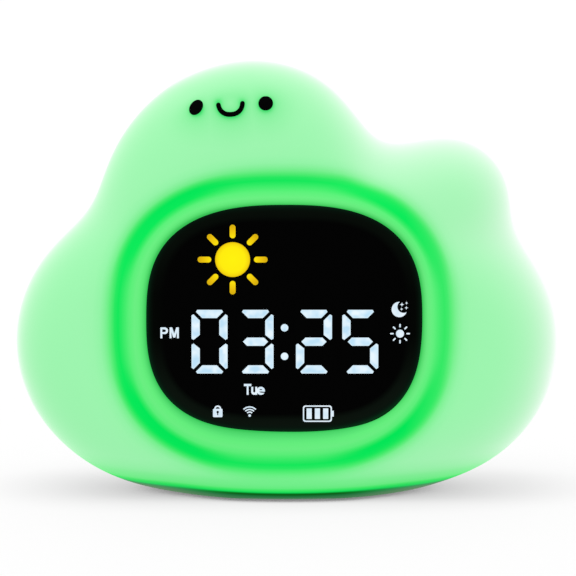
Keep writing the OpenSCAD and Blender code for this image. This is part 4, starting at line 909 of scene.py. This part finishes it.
def printed_words(words, x, z):
    """Words in print on the rear cover, centred at x, with the letters' foot at z, both in mm."""
    letters = bpy.data.curves.new(words, "FONT")
    letters.body = words
    letters.size = CAPITAL_HEIGHT * MM * TYPE_PER_CAPITAL
    letters.align_x = "CENTER"
    letters.extrude = HALF_COAT
    holder = bpy.data.objects.new(words, letters)
    bpy.context.scene.collection.objects.link(holder)
    mesh = bpy.data.meshes.new_from_object(holder.evaluated_get(bpy.context.evaluated_depsgraph_get()))
    bpy.data.objects.remove(holder)
    at = Matrix.Translation((x * MM, PANEL_Y + HALF_COAT, z * MM))
    mesh.transform(at @ Matrix.Rotation(math.pi, 4, "Z") @ Matrix.Rotation(math.pi / 2, 4, "X"))
    mesh.materials.clear()
    mesh.materials.append(print_ink)
    link("words_" + words, mesh)


knob_low, knob_high = (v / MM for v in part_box("power_knob"))
socket_low, socket_high = (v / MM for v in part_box("usb_socket"))
knob_x, knob_z = (knob_low.x + knob_high.x) / 2, (knob_low.z + knob_high.z) / 2
words_z = knob_high.z + WORDS_GAP
for words, shift in SWITCH_WORDS.items():
    printed_words(words, knob_x + shift, words_z)
printed_words("5V", (socket_low.x + socket_high.x) / 2, words_z)
print("words laid at y mm:", round(PANEL_Y / MM, 2))

# %% [markdown]
# The switch knob is acetal, with three ribs across its face for the thumb. The ribs are
# small blocks that sink into the knob, and they ride with it.

# %% Knob
KNOB_EDGE = 0.25 * MM
RIB_PITCH = 1.2
RIB_SIZE = Matrix.Diagonal(Vector((0.5, 0.4, 2.4, 1 / MM)) * MM)
acetal = grained("grey_acetal", "#505457", "#5B5F62", 0.6, 0.42)
shape = bmesh.new()
for step in (-RIB_PITCH, 0, RIB_PITCH):
    at = Matrix.Translation(Vector((knob_x + step, knob_high.y, knob_z)) * MM)
    bmesh.ops.create_cube(shape, size=1, matrix=at @ RIB_SIZE)
ribs = link("knob_ribs", bare_mesh("knob_ribs", shape), "power_slider")
knob = refined("power_knob", "knob", KNOB_EDGE, segments=3, body="power_slider")
for piece in (ribs, knob):
    piece.data.materials.append(acetal)
print("rib faces:", len(ribs.data.polygons))

# %% [markdown]
# The loudspeaker is a paper cone in a pressed basket, with a rubber roll at its rim and a
# dust cap in its middle. All of it is round, so two profiles are turned about one axis.

# %% Shapes of the loudspeaker
# Radius and depth behind the face, in mm
CONE = [(12.4, 0.5), (11.8, 0.15), (11, 0.02), (10.2, 0.15), (9.6, 0.6),
        (4.2, 2.2), (4, 1.9), (3, 1.3), (1.6, 1), (0, 0.9)]
CONE_WALL = 0.3
BASKET = [(14, 0), (12.4, 0), (12.4, 1), (9.4, 1.4), (4.4, 3), (0, 3),
          (0, 5.2), (8, 5.2), (8, 3.2), (9, 3.2), (12, 1.2), (14, 1.2)]
speaker_low, speaker_high = (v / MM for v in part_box("speaker"))
speaker_middle = ((speaker_low.x + speaker_high.x) / 2, 0, (speaker_low.z + speaker_high.z) / 2)
FACE = speaker_high.y

shape = bmesh.new()
sheet = [(r, FACE - d) for r, d in CONE] + [(r, FACE - d - CONE_WALL) for r, d in reversed(CONE)]
lathe(shape, sheet, speaker_middle, steps=64)
cone = link("speaker_cone", bare_mesh("speaker_cone", shape))
shape = bmesh.new()
lathe(shape, [(r, FACE - d) for r, d in BASKET], speaker_middle, steps=64)
basket = link("speaker_basket", bare_mesh("speaker_basket", shape, smooth=False))
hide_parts("speaker")
print("cone faces:", len(cone.data.polygons))

# %% Paper, rubber roll and basket
# Pressed paper is rough and fibrous; the roll round it is smooth black rubber
paper, tree, shader, place = start("pressed_paper_cone")
away = from_axis(tree, place, speaker_middle)
tone = over_mm(
    tree, away,
    [(0, "#3A3A3B"), (4, "#333334"), (4.4, "#242425"), (9.3, "#2A2A2B"), (9.7, "#101011"), (13, "#101011")],
)
tree.links.new(tone, shader.inputs["Base Color"])
rough = over_mm(tree, away, [(0, 0.6), (4, 0.6), (4.4, 0.9), (9.3, 0.9), (9.7, 0.45), (13, 0.45)])
tree.links.new(rough, shader.inputs["Roughness"])
fibres = add(tree, "ShaderNodeTexNoise", {"Vector": place, "Scale": 3, "Detail": 5}).outputs[0]
relief = add(tree, "ShaderNodeBump", {"Height": fibres, "Distance": 0.06 * MM})
tree.links.new(relief.outputs[0], shader.inputs["Normal"])
cone.data.materials.append(paper)
basket.data.materials.append(grained("black_pressed_basket", "#141415", "#1D1D1F", 0.5, 0.4))
print("cone nodes:", len(tree.nodes))

# %% [markdown]
# ## Materials of the working parts
#
# The inner pieces keep their CAD shapes. Metals first: the screws are zinc plated, the
# cans of the switches, the radio and the socket are tinned sheet, and the battery is a
# pouch of aluminium laminate whose skin is slightly creased.

# %% Metals and foil
zinc = grained("zinc_plated_steel", "#AEB3B7", "#C3C8CC", 0.6, 0.32, metal=1.0)
dress(zinc, "display_screws", "board_screws", "strap_screws", "rear_screws", "stand_screws")
tin = grained("tinned_sheet_steel", "#BFC0BD", "#D2D3D0", 1.2, 0.28, metal=1.0)
dress(tin, "radio_module", "usb_socket", "tact_switches", "power_switch")

CREASES_PER_MM = 0.12
POUCH_EDGE = 1.6 * MM
foil, tree, shader, place = start("aluminium_laminate_pouch")
creases = add(
    tree, "ShaderNodeTexNoise", {"Vector": place, "Scale": CREASES_PER_MM, "Detail": 6, "Distortion": 1.5}
).outputs[0]
tone = add(tree, "ShaderNodeValToRGB", {"Fac": creases}, stops=[(0.3, "#B9BBBE"), (0.7, "#D3D5D8")])
tree.links.new(tone.outputs[0], shader.inputs["Base Color"])
relief = add(tree, "ShaderNodeBump", {"Height": creases, "Distance": 0.5 * MM})
tree.links.new(relief.outputs[0], shader.inputs["Normal"])
shader.inputs["Metallic"].default_value = 1.0
shader.inputs["Roughness"].default_value = 0.35
pouch = refined("battery_cell", "battery_pouch", POUCH_EDGE, segments=4)
pouch.data.materials.append(foil)
print("pouch faces:", len(pouch.data.polygons))

# %% [markdown]
# The circuit boards are glass fibre under green solder mask. Copper traces raise the mask
# and show as paler lines, and round vias are tinned. The films are polyester with printed
# conductors, which run along the ribbon and round the band of lamps.


# %% Boards and films
def stripes(tree, value, pitch_mm, share):
    """1 on stripes that repeat every pitch_mm and take up a share of it, and 0 between."""
    turns = add(tree, "ShaderNodeMath", {0: value, 1: pitch_mm}, operation="DIVIDE").outputs[0]
    phase = add(tree, "ShaderNodeMath", {0: turns}, operation="FRACT").outputs[0]
    return add(tree, "ShaderNodeMath", {0: phase, 1: share}, operation="LESS_THAN").outputs[0]


# Traces run in bundles: a patch has them one way, the other way or not at all
TRACE_PITCH, TRACE_SHARE = 0.9, 0.3
PATCHES_PER_MM = 0.09
BARE_SHARE = 0.35
VIAS_PER_MM, VIA_REACH = 0.35, 0.12

mask, tree, shader, place = start("green_solder_mask")
axes = add(tree, "ShaderNodeSeparateXYZ", {0: place}).outputs
upright = stripes(tree, axes["X"], TRACE_PITCH, TRACE_SHARE)
level = stripes(tree, axes["Z"], TRACE_PITCH, TRACE_SHARE)
patches = add(
    tree, "ShaderNodeTexVoronoi", {"Vector": place, "Scale": PATCHES_PER_MM}, distance="CHEBYCHEV"
).outputs["Color"]
patches = add(tree, "ShaderNodeSeparateColor", {0: patches}).outputs
turned = add(tree, "ShaderNodeMath", {0: patches["Red"], 1: 0.5}, operation="GREATER_THAN").outputs[0]
laid = add(tree, "ShaderNodeMath", {0: patches["Green"], 1: BARE_SHARE}, operation="GREATER_THAN").outputs[0]
traces = add(tree, "ShaderNodeMix", {0: turned, 2: upright, 3: level}).outputs[0]
traces = add(tree, "ShaderNodeMath", {0: traces, 1: laid}, operation="MULTIPLY").outputs[0]
greens = {0: traces, 6: linear("#06401D"), 7: linear("#0D6A33")}
tone = add(tree, "ShaderNodeMix", greens, data_type="RGBA").outputs[2]
vias = add(tree, "ShaderNodeTexVoronoi", {"Vector": place, "Scale": VIAS_PER_MM, "Randomness": 0.8}).outputs
via = add(tree, "ShaderNodeMath", {0: vias["Distance"], 1: VIA_REACH}, operation="LESS_THAN").outputs[0]
tone = add(tree, "ShaderNodeMix", {0: via, 6: tone, 7: linear("#C4C2B4")}, data_type="RGBA").outputs[2]
tree.links.new(tone, shader.inputs["Base Color"])
relief = add(tree, "ShaderNodeBump", {"Height": traces, "Distance": 0.03 * MM})
tree.links.new(relief.outputs[0], shader.inputs["Normal"])
shader.inputs["Roughness"].default_value = 0.3
dress(mask, "display_board", "main_board")
print("mask nodes:", len(tree.nodes))


# %% Polyester films
def conductor_film(name, axis, pitch_mm):
    """White polyester with grey printed conductors side by side along one axis."""
    material, tree, shader, place = start(name)
    along = add(tree, "ShaderNodeSeparateXYZ", {0: place}).outputs[axis]
    tones = {0: stripes(tree, along, pitch_mm, 0.5), 6: linear("#E9E9E4"), 7: linear("#A9AAA6")}
    tone = add(tree, "ShaderNodeMix", tones, data_type="RGBA").outputs[2]
    tree.links.new(tone, shader.inputs["Base Color"])
    shader.inputs["Roughness"].default_value = 0.35
    return material


RIBBON_PITCH = 1.0
BAND_PITCH = 2.7
dress(conductor_film("ribbon_polyester_film", "X", RIBBON_PITCH), "display_ribbon")
dress(conductor_film("lamp_band_polyester_film", "Y", BAND_PITCH), "lamp_band")
print("conductor pitches in mm:", RIBBON_PITCH, BAND_PITCH)

# %% [markdown]
# What is left is small: black epoxy round the chips, nylon sockets, acetal plungers, foam,
# the leads' soft vinyl and the lamps' phosphor. The lamps behind the skin shine green, and
# those behind the display shine white.

# %% Small parts and leads
epoxy = grained("black_epoxy", "#0E0F10", "#17181A", 0.4, 0.5, relief_mm=0.02)
dress(epoxy, "controller_chip", "board_parts")
dress(grained("ivory_nylon", "#D3C9AE", "#DED5BD", 0.6, 0.4), "lead_sockets", "ribbon_sockets")
black_acetal = grained("black_acetal", "#0B0B0C", "#131314", 0.6, 0.35)
dress(black_acetal, "usb_tongue", *(f"plunger_{key}" for key in KEYS))
dress(grained("open_cell_foam", "#3A3B3D", "#48494C", 0.5, 0.9, relief_mm=0.15), "speaker_gasket")
LEADS = {
    "battery_lead_red": ("#A80F0B", "#BC1B14"),
    "battery_lead_black": ("#0A0A0A", "#131313"),
    "speaker_leads": ("#C8500E", "#D85F18"),
    "lamp_leads": ("#D3D4D1", "#DFE0DD"),
}
for node, tones in LEADS.items():
    dress(grained("soft_vinyl_" + node, *tones, 1.0, 0.35), node)
print("leads dressed:", len(LEADS))


# %% Lamps of the clock
def phosphor(name, light, strength):
    """The yellow lens of a lamp, which the chip under it fills with its own light."""
    material, tree, shader, place = start(name)
    cloudy = add(tree, "ShaderNodeTexNoise", {"Vector": place, "Scale": 1.5}).outputs[0]
    tone = add(tree, "ShaderNodeValToRGB", {"Fac": cloudy}, stops=[(0.3, "#E4CE5E"), (0.7, "#F2E08A")])
    tree.links.new(tone.outputs[0], shader.inputs["Base Color"])
    shader.inputs["Emission Color"].default_value = linear(light)
    shader.inputs["Emission Strength"].default_value = strength
    shader.inputs["Roughness"].default_value = 0.25
    return material


dress(phosphor("green_lamp_phosphor", "#46FF78", 2.0), "lamps")
dress(phosphor("white_lamp_phosphor", "#F2F8FF", 1.0), "display_leds")
print("lamps dressed")

# %% [markdown]
# The pad under the foot is soft rubber with raised dots, 3 mm apart, that grip the table.
# The place is cut into square cells, and each cell has one dot in its middle.

# %% Pad
DOT_PITCH = 3
rubber, tree, shader, place = start("dotted_green_rubber")
cells = add(tree, "ShaderNodeVectorMath", {0: place, 1: (DOT_PITCH,) * 3}, operation="DIVIDE").outputs[0]
cells = add(tree, "ShaderNodeVectorMath", {0: cells}, operation="FRACTION").outputs[0]
flat = add(tree, "ShaderNodeVectorMath", {0: cells, 1: (1, 1, 0)}, operation="MULTIPLY").outputs[0]
away = add(tree, "ShaderNodeVectorMath", {0: flat, 1: (0.5, 0.5, 0)}, operation="DISTANCE").outputs["Value"]
dots = add(tree, "ShaderNodeMapRange", {"Value": away, "From Min": 0.32, "From Max": 0.22}).outputs[0]
greens = {0: dots, 6: linear("#11743A"), 7: linear("#1C8F4B")}
tone = add(tree, "ShaderNodeMix", greens, data_type="RGBA").outputs[2]
tree.links.new(tone, shader.inputs["Base Color"])
relief = add(tree, "ShaderNodeBump", {"Height": dots, "Distance": 0.3 * MM})
tree.links.new(relief.outputs[0], shader.inputs["Normal"])
shader.inputs["Roughness"].default_value = 0.8
dress(rubber, "base_pad")

bare = [node for node, thing in NODES.items() if not thing.hide_render and not thing.data.materials]
print("nodes still without a material:", bare)

# %% Box of the finished clock
low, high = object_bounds()
print("box of all pieces in mm:", [round(v / MM, 1) for v in high - low])
